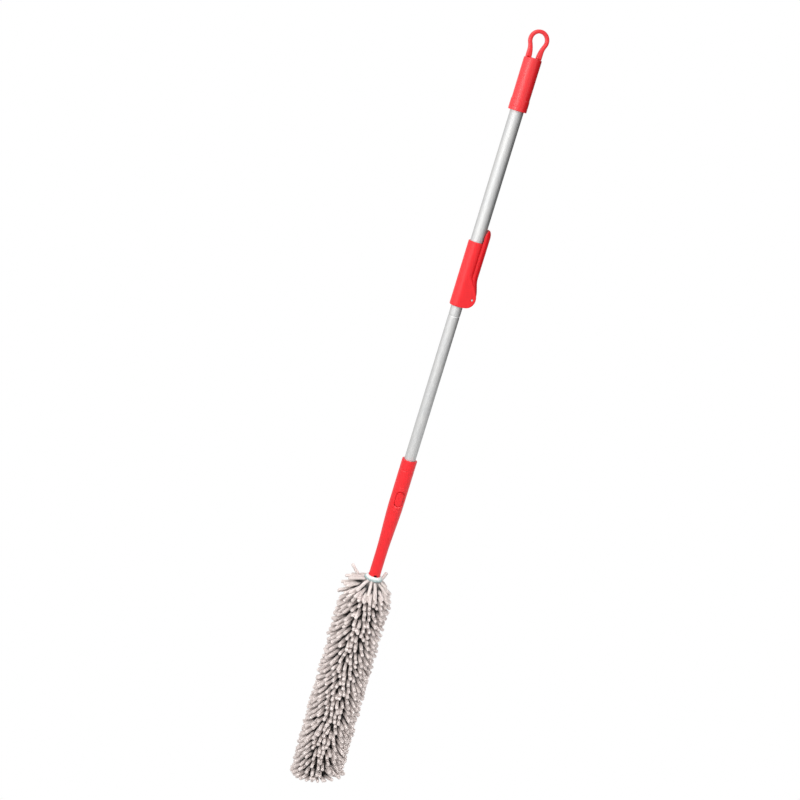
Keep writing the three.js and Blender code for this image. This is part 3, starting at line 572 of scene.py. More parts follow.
def red_plastic(name, shine):
    finish = Finish(name, Specular_IOR_Level=shine)
    return finish.use(
        finish.ramp(finish.noise(70, 4), (0.3, (0.76, 0.007, 0.012)), (0.7, (0.82, 0.009, 0.016))),
        finish.spread(finish.noise(240), 0.36, 0.42),
        finish.bump(finish.noise(2600, 2), 0.00004, 0.05),
    )


def satin_aluminium():
    finish = Finish("satin_aluminium", Metallic=1.0)
    drawn = finish.noise(1100, 3, (1, 1, 0.012))
    color = finish.ramp(drawn, (0.25, (0.525, 0.525, 0.523)), (0.75, (0.595, 0.595, 0.592)))
    tint = finish.ramp(finish.noise(45, 2), (0.3, (0.96, 0.965, 0.97)), (0.7, (1.0, 0.997, 0.99)))
    return finish.use(
        finish.times(color, tint),
        finish.spread(drawn, 0.54, 0.66),
        finish.bump(drawn, 0.00002, 0.3),
    )


def bright_steel():
    finish = Finish("bright_steel", Metallic=1.0)
    scratch = finish.noise(900, 4, (1, 0.1, 1))
    return finish.use(
        finish.ramp(scratch, (0.3, (0.62, 0.62, 0.61)), (0.7, (0.78, 0.78, 0.77))),
        finish.spread(scratch, 0.16, 0.32),
        finish.bump(scratch, 0.00002, 0.3),
    )


def dark_plastic():
    finish = Finish("dark_plastic", Specular_IOR_Level=0.4)
    return finish.use(
        finish.ramp(finish.noise(90), (0.3, (0.018, 0.018, 0.02)), (0.7, (0.03, 0.03, 0.032))),
        finish.spread(finish.noise(300), 0.45, 0.62),
        finish.bump(finish.noise(1800, 2), 0.00005, 0.4),
    )


def chenille():
    """Soft pile: painted shade darkens it towards the roots, with a tone of its own for each finger."""
    finish = Finish("chenille", Sheen_Weight=0.22, Sheen_Roughness=0.6, Specular_IOR_Level=0.15)
    # painted shade: near black at the root, where the fingers shade each other, pale towards the tip
    depth = finish.ramp(
        finish.attribute("along"),
        (0.0, (0.015, 0.013, 0.012)),
        (0.24, (0.06, 0.053, 0.050)),
        (0.44, (0.68, 0.607, 0.583)),
        (1.0, (0.83, 0.744, 0.715)),
    )
    tone = finish.ramp(finish.attribute("tone"), (0.0, (0.88, 0.87, 0.865)), (1.0, (1.0, 1.0, 1.0)))
    pile = finish.noise(1500, 4)
    fleck = finish.ramp(pile, (0.3, (0.86, 0.85, 0.84)), (0.65, (1.0, 1.0, 1.0)))
    return finish.use(
        finish.times(finish.times(depth, tone), fleck),
        finish.spread(pile, 0.85, 1.0),
        finish.bump(finish.cells(900), 0.0005, 0.5, finish.bump(pile, 0.0004, 0.6)),
    )


def knit_backing():
    """A dark knit, deepened to near black by painted shade between the fingers, and paler where it comes
    out of the hem.
    """
    finish = Finish("knit_backing", Specular_IOR_Level=0.15)
    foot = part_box("hem_band")[0].z
    share = finish.height(foot - PALE_REACH, foot)
    # painted shade: near black below the hem, where the fingers shade the backing, paler up at the hem
    depth = finish.ramp(share, (0.0, (0.035, 0.03, 0.028)), (1.0, (0.45, 0.40, 0.38)))
    yarn = finish.ramp(finish.noise(300), (0.3, (0.6, 0.6, 0.6)), (0.7, (1.0, 1.0, 1.0)))
    return finish.use(
        finish.times(depth, yarn),
        finish.spread(finish.noise(700, 2), 0.85, 1.0),
        finish.bump(finish.bands(190), 0.0005, 0.7),
    )


def hem_cloth():
    """White cloth, with painted shade that greys its lower half."""
    finish = Finish("hem_cloth", Sheen_Weight=0.15, Specular_IOR_Level=0.2)
    low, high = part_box("hem_band")
    # painted shade: grey-teal in the band's lower half, which lies in shade, white above
    color = finish.ramp(
        finish.height(low.z, high.z),
        (0.2, (0.36, 0.47, 0.465)),
        (0.42, (0.50, 0.60, 0.595)),
        (0.56, (0.80, 0.84, 0.835)),
        (1.0, (0.84, 0.87, 0.865)),
    )
    thread = finish.ramp(finish.noise(200), (0.3, (0.9, 0.92, 0.92)), (0.7, (1.0, 1.0, 1.0)))
    return finish.use(
        finish.times(color, thread),
        finish.spread(finish.noise(900, 2), 0.8, 0.98),
        finish.bump(finish.bands(650, 0.6), 0.0002, 0.6, finish.bump(finish.noise(1200), 0.0002, 0.5)),
    )


def cream_foam():
    finish = Finish("cream_foam", Specular_IOR_Level=0.2)
    pores = finish.cells(1100)
    return finish.use(
        # painted shade: the pits of the pores are darker than the foam round them
        finish.ramp(pores, (0.1, (0.5, 0.44, 0.32)), (0.5, (0.76, 0.70, 0.56))),
        finish.spread(pores, 0.85, 1.0),
        finish.bump(pores, 0.0004, 0.7),
    )


def woven_elastic():
    finish = Finish("woven_elastic", Specular_IOR_Level=0.25)
    ribs = finish.bands(700)
    return finish.use(
        # painted shade: the grooves between the ribs are darker than their crests
        finish.ramp(ribs, (0.2, (0.52, 0.5, 0.46)), (0.8, (0.72, 0.70, 0.66))),
        finish.spread(ribs, 0.65, 0.85),
        finish.bump(ribs, 0.0002, 0.6),
    )


plain_tool = bpy.data.materials.new("plain_tool")
RED = red_plastic("red_plastic", 0.5)
GLOSSY_RED = red_plastic("glossy_red_plastic", 0.8)
ALUMINIUM = satin_aluminium()
STEEL = bright_steel()
DARK = dark_plastic()
CHENILLE = chenille()
KNIT = knit_backing()
HEM_FABRIC = hem_cloth()
FOAM = cream_foam()
ELASTIC = woven_elastic()


def settle(piece, body, slot, *nodes):
    """Lets a rigid piece ride on a body and stand for CAD nodes."""
    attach(piece, body)
    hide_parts(*nodes)


# Camera


def make_camera():
    back = Vector(LEVEL * cos(CAMERA_ELEVATION) + UP * sin(CAMERA_ELEVATION))
    data = bpy.data.cameras.new("camera")
    data.lens = CAMERA_LENS
    data.sensor_width = CAMERA_SENSOR
    camera = placed("camera", data)
    upright = back.to_track_quat("Z", "Y").to_matrix().to_4x4()
    place = Matrix.Translation(CAMERA_AIM + CAMERA_DISTANCE * back)
    camera.matrix_world = place @ upright @ Matrix.Rotation(CAMERA_ROLL, 4, "Z")
    bpy.context.scene.camera = camera


# Rigid pieces


def joint_named(name):
    return next(joint for joint in frame["joints"] if joint["name"] == name)


def middle_of(node):
    low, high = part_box(node)
    return (low + high) / 2


def hang_loop():
    """A flat band bent round a teardrop hole, with a barbed tongue in the grip."""
    low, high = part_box("hang_loop")
    middle = -LOOP_HOLE_RADIUS
    foot = -LOOP_HOLE_HEIGHT
    waist = foot + LOOP_HOLE_RADIUS
    stem_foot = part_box("grip")[1].z + FIT_GAP
    barb_top = low.z + LOOP_TONGUE_LENGTH
    half_stem, half_foot, half_tongue = LOOP_STEM_WIDTH / 2, LOOP_HOLE_FOOT / 2, LOOP_TONGUE_WIDTH / 2

    def bend(start, knee, end):
        shares = [step / LOOP_BEND_STEPS for step in range(LOOP_BEND_STEPS + 1)]
        return [start * (1 - t) ** 2 + knee * 2 * t * (1 - t) + end * t ** 2 for t in shares]

    def arc(radius):
        span = pi + 2 * LOOP_ARC_END
        turns = [-LOOP_ARC_END + span * step / LOOP_ARC_STEPS for step in range(LOOP_ARC_STEPS + 1)]
        return [at(radius * cos(turn), middle + radius * sin(turn)) for turn in turns]

    def closed(side, top):
        """A whole outline from its right side and its top."""
        return side + top[1:-1] + [at(-point.x, point.y) for point in reversed(side)]

    top = arc(high.z - middle)
    bow = (waist + top[0].y) / 2
    side = [
        at(half_tongue - LOOP_BARB, low.z),
        at(half_tongue + LOOP_BARB, barb_top),
        at(half_tongue, barb_top),
        at(half_tongue, stem_foot),
        at(half_stem, stem_foot),
    ] + bend(at(half_stem, waist), at(half_stem, bow), top[0])
    hole_top = arc(LOOP_HOLE_RADIUS)
    hole_side = bend(at(half_foot, foot), at(half_foot, waist), hole_top[0])

    curve = bpy.data.curves.new("hang_loop_outline", "CURVE")
    curve.dimensions = "2D"
    curve.fill_mode = "BOTH"
    curve.extrude = (high.y - low.y) / 2 - LOOP_EDGE
    curve.bevel_depth = LOOP_EDGE
    curve.bevel_resolution = LOOP_EDGE_STEPS
    curve.offset = -LOOP_EDGE
    for outline in (closed(side, top), closed(hole_side, hole_top)):
        spline = curve.splines.new("POLY")
        spline.points.add(len(outline) - 1)
        spline.use_cyclic_u = True
        for point, place in zip(spline.points, outline):
            point.co = (place.x, place.y, 0, 1)
    flat = placed("hang_loop_outline", curve)
    mesh = bpy.data.meshes.new_from_object(flat.evaluated_get(bpy.context.evaluated_depsgraph_get()))
    bpy.data.objects.remove(flat)
    mesh.transform(ALONG_Y.to_4x4())
    points = [vertex.co.copy() for vertex in mesh.vertices]
    faces = [polygon.vertices[:] for polygon in mesh.polygons]
    loop = piece_of("loop_moulding", mesh_of("loop_moulding", points, faces), GLOSSY_RED)
    settle(loop, "handle", "red_plastic", "hang_loop")


def grip():
    """A sleeve with a round shoulder and a wider cuff, slotted for the loop's tongue."""
    low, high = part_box("grip")
    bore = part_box("outer_tube")[1].x + FIT_GAP
    ceiling = high.z - GRIP_TOP_WALL
    cuff_top = low.z + CUFF_LENGTH
    line = low.z + CUFF_LINE_RISE
    outline = rounded([
        (0, ceiling, 0),
        (bore, ceiling, SMALL_ROUND),
        (bore, low.z, SMALL_ROUND),
        (high.x, low.z, HANDLE_EDGE),
        (high.x, line - CUFF_LINE_DEPTH, SMALL_ROUND),
        (high.x - CUFF_LINE_DEPTH, line, SMALL_ROUND),
        (high.x, line + CUFF_LINE_DEPTH, SMALL_ROUND),
        (high.x, cuff_top, HANDLE_EDGE / 2),
        (GRIP_RADIUS, cuff_top + HANDLE_EDGE, HANDLE_EDGE / 2),
        (GRIP_RADIUS, high.z, GRIP_TOP_ROUND),
        (0, high.z, 0),
    ])
    sleeve = turned("grip_sleeve", divided(outline, BODY_STEP), GLOSSY_RED)
    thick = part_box("hang_loop")[1].y + FIT_GAP
    wide = LOOP_TONGUE_WIDTH / 2 + FIT_GAP
    slot = tool_block((-wide, -thick, ceiling - FIT_GAP), (wide, thick, high.z + FIT_GAP))
    combine(sleeve, "DIFFERENCE", slot)
    settle(sleeve, "handle", "red_plastic", "grip")


def shoe_window():
    """The opening for the brake shoe, through tube and barrel."""
    low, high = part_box("brake_shoe")
    return tool_block(
        (0, low.y - FIT_GAP, low.z - FIT_GAP),
        (CLAMP_RADIUS, high.y + FIT_GAP, high.z + FIT_GAP),
    )


def rivet_hole():
    """The hole for the rivet's shank, through the back of tube and barrel."""
    place = (0, CLAMP_RADIUS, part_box("clamp_body")[1].z - RIVET_DROP)
    return tool_pin(RIVET_SHANK_RADIUS + FIT_GAP, CLAMP_RADIUS, place)


def tube(name, node, *groove):
    """A tube in place of a CAD node, with the points of a groove in its outside."""
    low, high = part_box(node)
    outline = rounded([
        (high.x - TUBE_WALL, low.z, SMALL_ROUND / 2),
        (high.x, low.z, SMALL_ROUND),
        *[(high.x - depth, height, SMALL_ROUND) for depth, height in groove],
        (high.x, high.z, SMALL_ROUND),
        (high.x - TUBE_WALL, high.z, SMALL_ROUND / 2),
    ])
    return turned(name, divided(outline, TUBE_STEP), ALUMINIUM)


def outer_tube():
    upper = combine(tube("upper_tube", "outer_tube"), "DIFFERENCE", shoe_window(), rivet_hole())
    settle(upper, "handle", "tube_aluminium", "outer_tube")


def inner_tube():
    half = GROOVE_WIDTH / 2
    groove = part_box("clamp_body")[0].z - GROOVE_DROP
    lower = tube("lower_tube", "inner_tube", (0, groove - half), (GROOVE_DEPTH, groove), (0, groove + half))
    settle(lower, "pole", "tube_aluminium", "inner_tube")


def clamp_body():
    """A barrel on the tube, with two cheeks that swell out round the lever's pin."""
    low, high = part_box("clamp_body")
    pin = middle_of("lever_pin")
    outline = rounded([
        (0, low.z, 0),
        (CLAMP_RADIUS, low.z, CLAMP_ROUND),
        (CLAMP_RADIUS, high.z, CLAMP_ROUND / 2),
        (0, high.z, 0),
    ])
    body = turned("clamp_moulding", divided(outline, BODY_STEP), RED)

    foot = low.z + CLAMP_ROUND / 3
    cheek = [at(0, foot), at(CLAMP_RADIUS - CLAMP_ROUND, foot)]
    for turn in CHEEK_BELOW * pi / 2:
        cheek.append(at(between(CLAMP_RADIUS, CHEEK_REACH, sin(turn)), between(pin.z, foot, cos(turn))))
    for share in CHEEK_ABOVE:
        cheek.append(at(between(CLAMP_RADIUS, CHEEK_REACH, fade(share)), pin.z + CHEEK_RISE * share))
    cheek.append(at(0, pin.z + CHEEK_RISE))
    cheeks = turned("tool_cheeks", cheek, plain_tool)
    slot = LEVER_WIDTH / 2 + LEVER_SLOT_GAP
    side = slot + CHEEK_THICKNESS
    combine(cheeks, "INTERSECT", tool_block((0, -side, low.z), (CHEEK_REACH, side, high.z)))
    combine(body, "UNION", cheeks)

    beyond = CLAMP_ROUND
    seat = CLAMP_RADIUS - LEVER_SEAT
    lever_slot = tool_block((0, -slot, low.z - beyond), (2 * CHEEK_REACH, slot, high.z + beyond))
    combine(lever_slot, "DIFFERENCE", tool_rod(seat, low.z - 2 * beyond, high.z + 2 * beyond))
    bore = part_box("outer_tube")[1].x + FIT_GAP
    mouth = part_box("inner_tube")[1].x + FIT_GAP
    bore_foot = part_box("wiper_ring")[0].z - FIT_GAP
    combine(
        body,
        "DIFFERENCE",
        lever_slot,
        tool_rod(bore, bore_foot, high.z + beyond),
        tool_rod(mouth, low.z - beyond, high.z),
        shoe_window(),
        tool_pin(PIN_RADIUS + FIT_GAP, 4 * side, pin),
        rivet_hole(),
    )
    settle(moulded(body), "handle", "red_plastic", "clamp_body")


def tool_cam(pin):
    """The cam about the lever's pin, which is highest towards the brake shoe when the lever is shut."""
    opening = radians(joint_named("lever_flip")["range_deg"][1])
    outline = []
    for turn in round_turns(PIN_SIDES):
        share = min(turn / opening, (2 * pi - turn) / (2 * pi - opening))
        radius = CAM_RADIUS - CAM_LIFT * share
        outline.append(at(-radius * cos(turn), -radius * sin(turn)))
    return prism("tool_cam", outline, LEVER_WIDTH, ALONG_Y, pin)


def clamp_lever():
    """A curved arm that lies along the barrel, with a cam about its pin."""
    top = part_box("clamp_lever")[1].z
    pin = middle_of("lever_pin")
    bulge = pin.z + CAM_RADIUS
    axis = LEVER_REACH - LEVER_CURVE
    outline = [at(axis, pin.z), at(pin.x + CAM_RADIUS, pin.z)]
    for share in LEVER_BULGE_SHARES:
        reach = between(LEVER_REACH, LEVER_BULGE_REACH, fade(share))
        outline.append(at(reach, bulge + (LEVER_BULGE_RISE - CAM_RADIUS) * share))
    depth = LEVER_REACH - CLAMP_RADIUS
    for turn in LEVER_TIP_SHARES * pi / 2:
        outline.append(at(CLAMP_RADIUS + depth * cos(turn), top - 2 * depth * (1 - sin(turn))))
    outline.append(at(axis, top))
    arm = turned("lever_moulding", [point - at(axis, 0) for point in outline], RED)
    arm.data.transform(Matrix.Translation((axis, 0, 0)))

    half = LEVER_WIDTH / 2
    face = rounded([
        (-half, pin.z, 0),
        (half, pin.z, 0),
        (half, top, LEVER_TIP_ROUND),
        (-half, top, LEVER_TIP_ROUND),
    ], BAR_STEPS)
    reach = 2 * LEVER_BULGE_REACH
    combine(arm, "INTERSECT", prism("tool_face", face, reach, ALONG_X, (reach / 2, 0, 0)))
    combine(arm, "DIFFERENCE", tool_rod(CLAMP_RADIUS - LEVER_SEAT + FIT_GAP, pin.z - half, top + half))
    combine(arm, "UNION", tool_cam(pin))
    combine(arm, "DIFFERENCE", tool_pin(PIN_RADIUS + FIT_GAP, 2 * LEVER_WIDTH, pin))
    settle(moulded(arm), "lever", "red_plastic", "clamp_lever")


def handle_radius(height, low):
    """The neck handle's outer radius at a height."""
    share = (height - low - NECK_LENGTH) / TAPER_LENGTH
    return between(HANDLE_RADIUS, NECK_RADIUS, fade(share))


def button_height():
    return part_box("neck_handle")[1].z - BUTTON_DROP


def bar_distance(x, z, width, height, radius):
    """The distance outside a rectangle with round corners, negative inside it."""
    over_x = np.abs(x) - (width / 2 - radius)
    over_z = np.abs(z) - (height / 2 - radius)
    outside = np.hypot(np.maximum(over_x, 0), np.maximum(over_z, 0))
    return outside + np.minimum(np.maximum(over_x, over_z), 0) - radius


def neck_handle():
    """A socket, a button window with ribs above and below it, a taper and a slim neck."""
    low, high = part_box("neck_handle")
    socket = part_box("inner_tube")[1].x + FIT_GAP
    floor = high.z - SOCKET_DEPTH
    button = button_height()
    line = high.z - HANDLE_LINE_DROP
    fine_top, fine_foot = high.z - HANDLE_EDGE, button - BUTTON_HEIGHT
    outside = np.concatenate([
        np.arange(low.z, fine_foot, HANDLE_STEPS[0]),
        np.arange(fine_foot, fine_top, HANDLE_STEPS[1]),
    ])
    outline = [at(handle_radius(height, low.z), height) for height in outside]
    outline += rounded([
        (HANDLE_RADIUS, fine_top, 0),
        (HANDLE_RADIUS, high.z, HANDLE_EDGE),
        (socket, high.z, SMALL_ROUND),
        (socket, floor, SMALL_ROUND),
        (NECK_BORE, floor, SMALL_ROUND),
        (NECK_BORE, low.z, 0),
    ])
    front = -pi / 2
    near = np.arange(-HANDLE_FRONT, HANDLE_FRONT, HANDLE_TURNS[0])
    far = np.arange(HANDLE_FRONT, 360 - HANDLE_FRONT, HANDLE_TURNS[1])
    turns = front + np.radians(np.concatenate([near, far]))

    def relief(angle, radius, height):
        across = HANDLE_RADIUS * ((angle - front + pi) % (2 * pi) - pi)
        change = -HANDLE_LINE_DEPTH * np.exp(-(((height - line) / HANDLE_LINE_WIDTH) ** 2))
        for rib in range(1, RIB_COUNT + 1):
            for side in (-1, 1):
                rise = height - button - side * (BUTTON_HEIGHT / 2 + rib * RIB_PITCH)
                gap = bar_distance(across, rise, RIB_WIDTH, RIB_HEIGHT, RIB_HEIGHT / 2)
                change = change + RIB_PROUD * fade(gap / RIB_HEIGHT + 0.5)
        rim = bar_distance(across, height - button, *BUTTON_HOLE)
        change = change - RIM_DEPTH * fade(rim / RIM_WIDTH) * (np.abs(across) < BUTTON_WIDTH)
        return np.where(radius > NECK_RADIUS + FIT_GAP / 3, change, 0) * (radius > socket + FIT_GAP)

    handle = turned("handle_moulding", outline, RED, turns, relief)
    window = rounded_bar(*BUTTON_HOLE)
    half = NOTCH_WIDTH / 2
    combine(
        handle,
        "DIFFERENCE",
        prism("tool_window", window, 2 * HANDLE_RADIUS, ALONG_Y, (0, -HANDLE_RADIUS, button)),
        tool_block((-half, -2 * NECK_RADIUS, low.z - NOTCH_HEIGHT), (half, 0, low.z + NOTCH_HEIGHT)),
    )
    settle(handle, "pole", "red_plastic", "neck_handle")


def button_face(x, z, inset):
    """The button's face at an inset from its edge, with the finger's dimple."""
    drop = BUTTON_EDGE * max(0, 1 - inset / BUTTON_EDGE) ** 2
    dimple = BUTTON_DIMPLE * exp(-((x / DIMPLE_REACH[0]) ** 2) - (z / DIMPLE_REACH[1]) ** 2)
    return drop + dimple - sqrt((HANDLE_RADIUS + BUTTON_PROUD) ** 2 - x ** 2)


def release_button():
    """A curved face with round edges and a shallow dimple, and a flange behind it."""
    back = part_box("release_button")[1].y
    height = button_height()
    rings = [[Vector((x, back, z)) for x, z in rounded_bar(BUTTON_WIDTH, BUTTON_HEIGHT, BUTTON_ROUND)]]
    for inset in BUTTON_INSETS:
        ring = rounded_bar(BUTTON_WIDTH - 2 * inset, BUTTON_HEIGHT - 2 * inset, BUTTON_ROUND - inset)
        rings.append([Vector((x, button_face(x, z, inset), z)) for x, z in ring])
    count = len(rings[0])
    points = [point for ring in rings for point in ring]
    faces = grid_faces(len(rings), count, False, True)
    faces += [range(count), range(len(points) - count, len(points))]
    mesh = mesh_of("button_moulding", [point + Vector((0, 0, height)) for point in points], faces)
    button = piece_of("button_moulding", mesh, RED)
    reach = BUTTON_HEIGHT / 2 + FLANGE_REACH
    flange = tool_block(
        (-FLANGE_WIDTH / 2, back - FLANGE_THICKNESS, height - reach),
        (FLANGE_WIDTH / 2, back, height + reach),
    )
    combine(button, "UNION", flange)
    settle(button, "button", "red_plastic", "release_button")


def button_spring():
    """The bow spring behind the button, which flattens as the button is pressed."""
    low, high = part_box("button_spring")
    bow = high.y - low.y - SPRING_THICKNESS
    half = (high.z - low.z) / 2
    shares = [2 * step / SPRING_STEPS - 1 for step in range(SPRING_STEPS + 1)]
    inner = [at(high.y - bow * (1 - share ** 2), share * half) for share in shares]
    outer = [point - at(SPRING_THICKNESS, 0) for point in reversed(inner)]
    middle = middle_of("button_spring").z
    spring = prism("bow_spring", inner + outer, high.x - low.x, ALONG_X, (0, 0, middle))
    spring.data.materials[0] = STEEL
    settle(spring, "pole", "steel", "button_spring")
    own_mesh(spring)


# Head

BEND_JOINTS = [joint for joint in frame["joints"] if joint["name"].startswith("bend_")]
BENDS = sorted((joint["pos_m"][2] for joint in BEND_JOINTS), reverse=True)  # heights, from the top
SEGMENT = BENDS[0] - BENDS[1]
HEAD_TOP = BENDS[0]
DOME_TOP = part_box("foam_pad_4")[0].z
ZONE_FEET = [bend - SEGMENT / 2 for bend in BENDS[:-1]] + [DOME_TOP]


def zone_span(zone):
    """The top and foot of the stretch of skin round one bend."""
    return (HEAD_TOP if zone == 0 else ZONE_FEET[zone - 1]), ZONE_FEET[zone]


def cross_bend(piece):
    """Bakes a soft piece's placement into its mesh."""
    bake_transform(piece)
    return piece


def backing_radius(height):
    """The outer radius of the sleeve's backing at a height."""
    share = np.clip((HEAD_TOP - height) / SLEEVE_SHOULDER, 0, 1)
    return between(SLEEVE_TOP_RADIUS, BACKING_RADIUS, share)


def dome_outline(radius, depth):
    """The rounded end of the head, from its rim to the axis."""
    turns = [pi / 2 * step / DOME_STEPS for step in range(1, DOME_STEPS + 1)]
    return [at(radius * cos(turn), DOME_TOP - depth * sin(turn)) for turn in turns]


def backing(zone):
    """A stretch of the sleeve's knitted backing."""
    heights = np.linspace(*zone_span(zone), BACKING_ROWS)
    outside = [at(backing_radius(height), height) for height in heights]
    inside = [at(point.x - BACKING_THICKNESS, point.y) for point in reversed(outside)]
    if zone == len(BENDS) - 1:
        inner_dome = dome_outline(BACKING_RADIUS - BACKING_THICKNESS, SLEEVE_DOME - BACKING_THICKNESS)
        outside += dome_outline(BACKING_RADIUS, SLEEVE_DOME) + inner_dome[::-1]
    return turned(f"sleeve_backing_{zone + 1}", outside + inside, KNIT)


def foam(zone):
    """A stretch of the foam roll, with the slot for the strip."""
    top, foot = zone_span(zone)
    top -= FIT_GAP
    heights = np.linspace(top, foot, FOAM_ROWS)
    radii = backing_radius(heights) - BACKING_THICKNESS - FIT_GAP
    outline = [at(0, top)] + [at(*place) for place in zip(radii, heights)] + [at(0, foot)]
    roll = turned(f"foam_roll_{zone + 1}", outline, FOAM)
    half_x, half_y = STRIP_THICKNESS / 2 + FIT_GAP, STRIP_WIDTH / 2 + FIT_GAP
    slot = tool_block((-half_x, -half_y, foot - FIT_GAP), (half_x, half_y, top + FIT_GAP))
    return combine(roll, "DIFFERENCE", slot)


def unit(vectors):
    return vectors / np.linalg.norm(vectors, axis=-1, keepdims=True)


PULL = unit(RIGHT * tan(LEAN_SIDE) + LEVEL * tan(LEAN_BACK) - UP)
HANG = unit(PULL - UP)  # the fingers' own stiffness keeps them half way to it


def finger_roots():
    """The places on the sleeve that fingers grow from, and the outward directions there."""
    heights = np.arange(HEAD_TOP - FIRST_ROW_DROP, DOME_TOP, -ROW_PITCH)
    rows = [(height, backing_radius(height), 0.0) for height in heights]
    for turn in np.arange(*DOME_TURNS, ROW_PITCH / BACKING_RADIUS):
        rows.append((DOME_TOP - SLEEVE_DOME * sin(turn), BACKING_RADIUS * cos(turn), turn))
    points, outwards = [], []
    for number, (height, radius, turn) in enumerate(rows):
        pitch = FIRST_ROW_PITCH if number == 0 else FINGER_PITCH
        count = max(1, round(2 * pi * radius / pitch))
        for finger in range(count):
            stray, lift = draw.uniform(-PLACE_STRAY, PLACE_STRAY, 2)
            angle = 2 * pi * (finger + stray) / count + ROW_TWIST * (HEAD_TOP - height)
            away = np.array([cos(angle), sin(angle), 0.0])
            to_end = min(HEAD_TOP - height, height - DOME_TOP)
            tilt = ROW_TILT * radius * (away @ LEVEL) * (1 - fade(to_end / ROW_TILT_REACH))
            points.append(away * (radius - ROOT_SINK) + UP * (height + lift * ROW_PITCH + tilt))
            outwards.append(away * cos(turn) - UP * sin(turn))
    return np.array(points), np.array(outwards)


def sway(points):
    """A gentle drift of direction, alike for neighbouring fingers."""
    angle = np.arctan2(points[:, 1], points[:, 0])
    drift = np.zeros_like(points)
    for turns in range(1, SWAY_WAVES + 1):
        pitch, phase = draw.uniform(*SWAY_PITCHES), draw.uniform(0, 2 * pi)
        wave = np.sin(turns * angle + 2 * pi * points[:, 2] / pitch + phase)
        drift += SWAY * wave[:, None] * unit(draw.normal(0, 1, 3))
    return drift


def finger_lines(points, outwards):
    """The middle lines of the fingers: they droop, hang in a fan at the hem, and splay on the ground."""
    count = len(points)
    near_hem = fade((HEAD_TOP - points[:, 2]) / HEM_REACH)
    ground = PULL[2] * STAND_HEIGHT - FINGER_RADIUS
    near_ground = fade((ground - points @ PULL) / GROUND_REACH)
    aside = outwards @ RIGHT
    edge = np.abs(aside) ** np.where(aside < 0, *COMB_EDGE)
    front = np.maximum(outwards @ LEVEL, 0)
    brushed = np.where(aside < 0, *COMB) * edge * front
    gathered = GATHER * front ** 2 * aside * (1 - near_hem) * (1 - near_ground)
    outwards = unit(outwards - brushed[:, None] * LEVEL - gathered[:, None] * RIGHT)
    upper = np.clip((points[:, 2] - DOME_TOP) / (HEAD_TOP - DOME_TOP), 0, 1)
    lean = between(*LENGTH_LEAN, upper)
    stretch = 1 + draw.uniform(-LENGTH_STRAY, LENGTH_STRAY, count)
    lengths = FINGER_LENGTH * stretch * (1 - lean * aside)
    facing = (outwards @ LEVEL) ** 2
    loose = between(*DIRECTION_STRAY, facing[:, None])
    stray = loose * draw.normal(0, 1, (count, 3)) + sway(points)
    side_droop = np.where(aside < 0, *HEM_SIDE_DROOPS)
    hem_droop = between(side_droop, HEM_FRONT_DROOP, facing)
    usual_droop = between(SIDE_DROOP, FRONT_DROOP, fade((1 - facing) / SIDE_SHARE))
    last_droop = between(usual_droop, hem_droop, near_hem)
    first_droop = last_droop - DROOP_GAIN - HEM_CURL * hem_droop * near_hem
    line = [points]
    steps = np.linspace(0, 1, FINGER_STEPS)
    for before, share in zip(steps, steps[1:]):
        droop = between(first_droop, last_droop, share)[:, None]
        direction = unit(outwards * np.cos(droop) + HANG * np.sin(droop) + stray)
        direction = unit(direction - PULL * (direction @ PULL * near_ground)[:, None])
        stride = (lengths * (share - before))[:, None]
        reach = line[-1] + direction * stride
        level_way = unit(direction - PULL * (direction @ PULL)[:, None])
        flat = line[-1] + level_way * stride
        flat = flat - PULL * np.maximum(flat @ PULL - ground, 0)[:, None]
        sunk = (reach @ PULL > ground)[:, None]
        line.append(np.where(sunk, flat, reach))
    lines = np.stack(line, 1)
    for side, drop, lift, share in SPRIGS:
        height = HEAD_TOP - drop
        away = unit(side * RIGHT - SPRIG_BACK * LEVEL)
        root = np.argmin(np.linalg.norm(points - away * backing_radius(height) - UP * height, axis=1))
        direction = away * cos(lift) + UP * sin(lift)
        lines[root] = points[root] + np.outer(steps * lengths[root] * share, direction)
    return lines


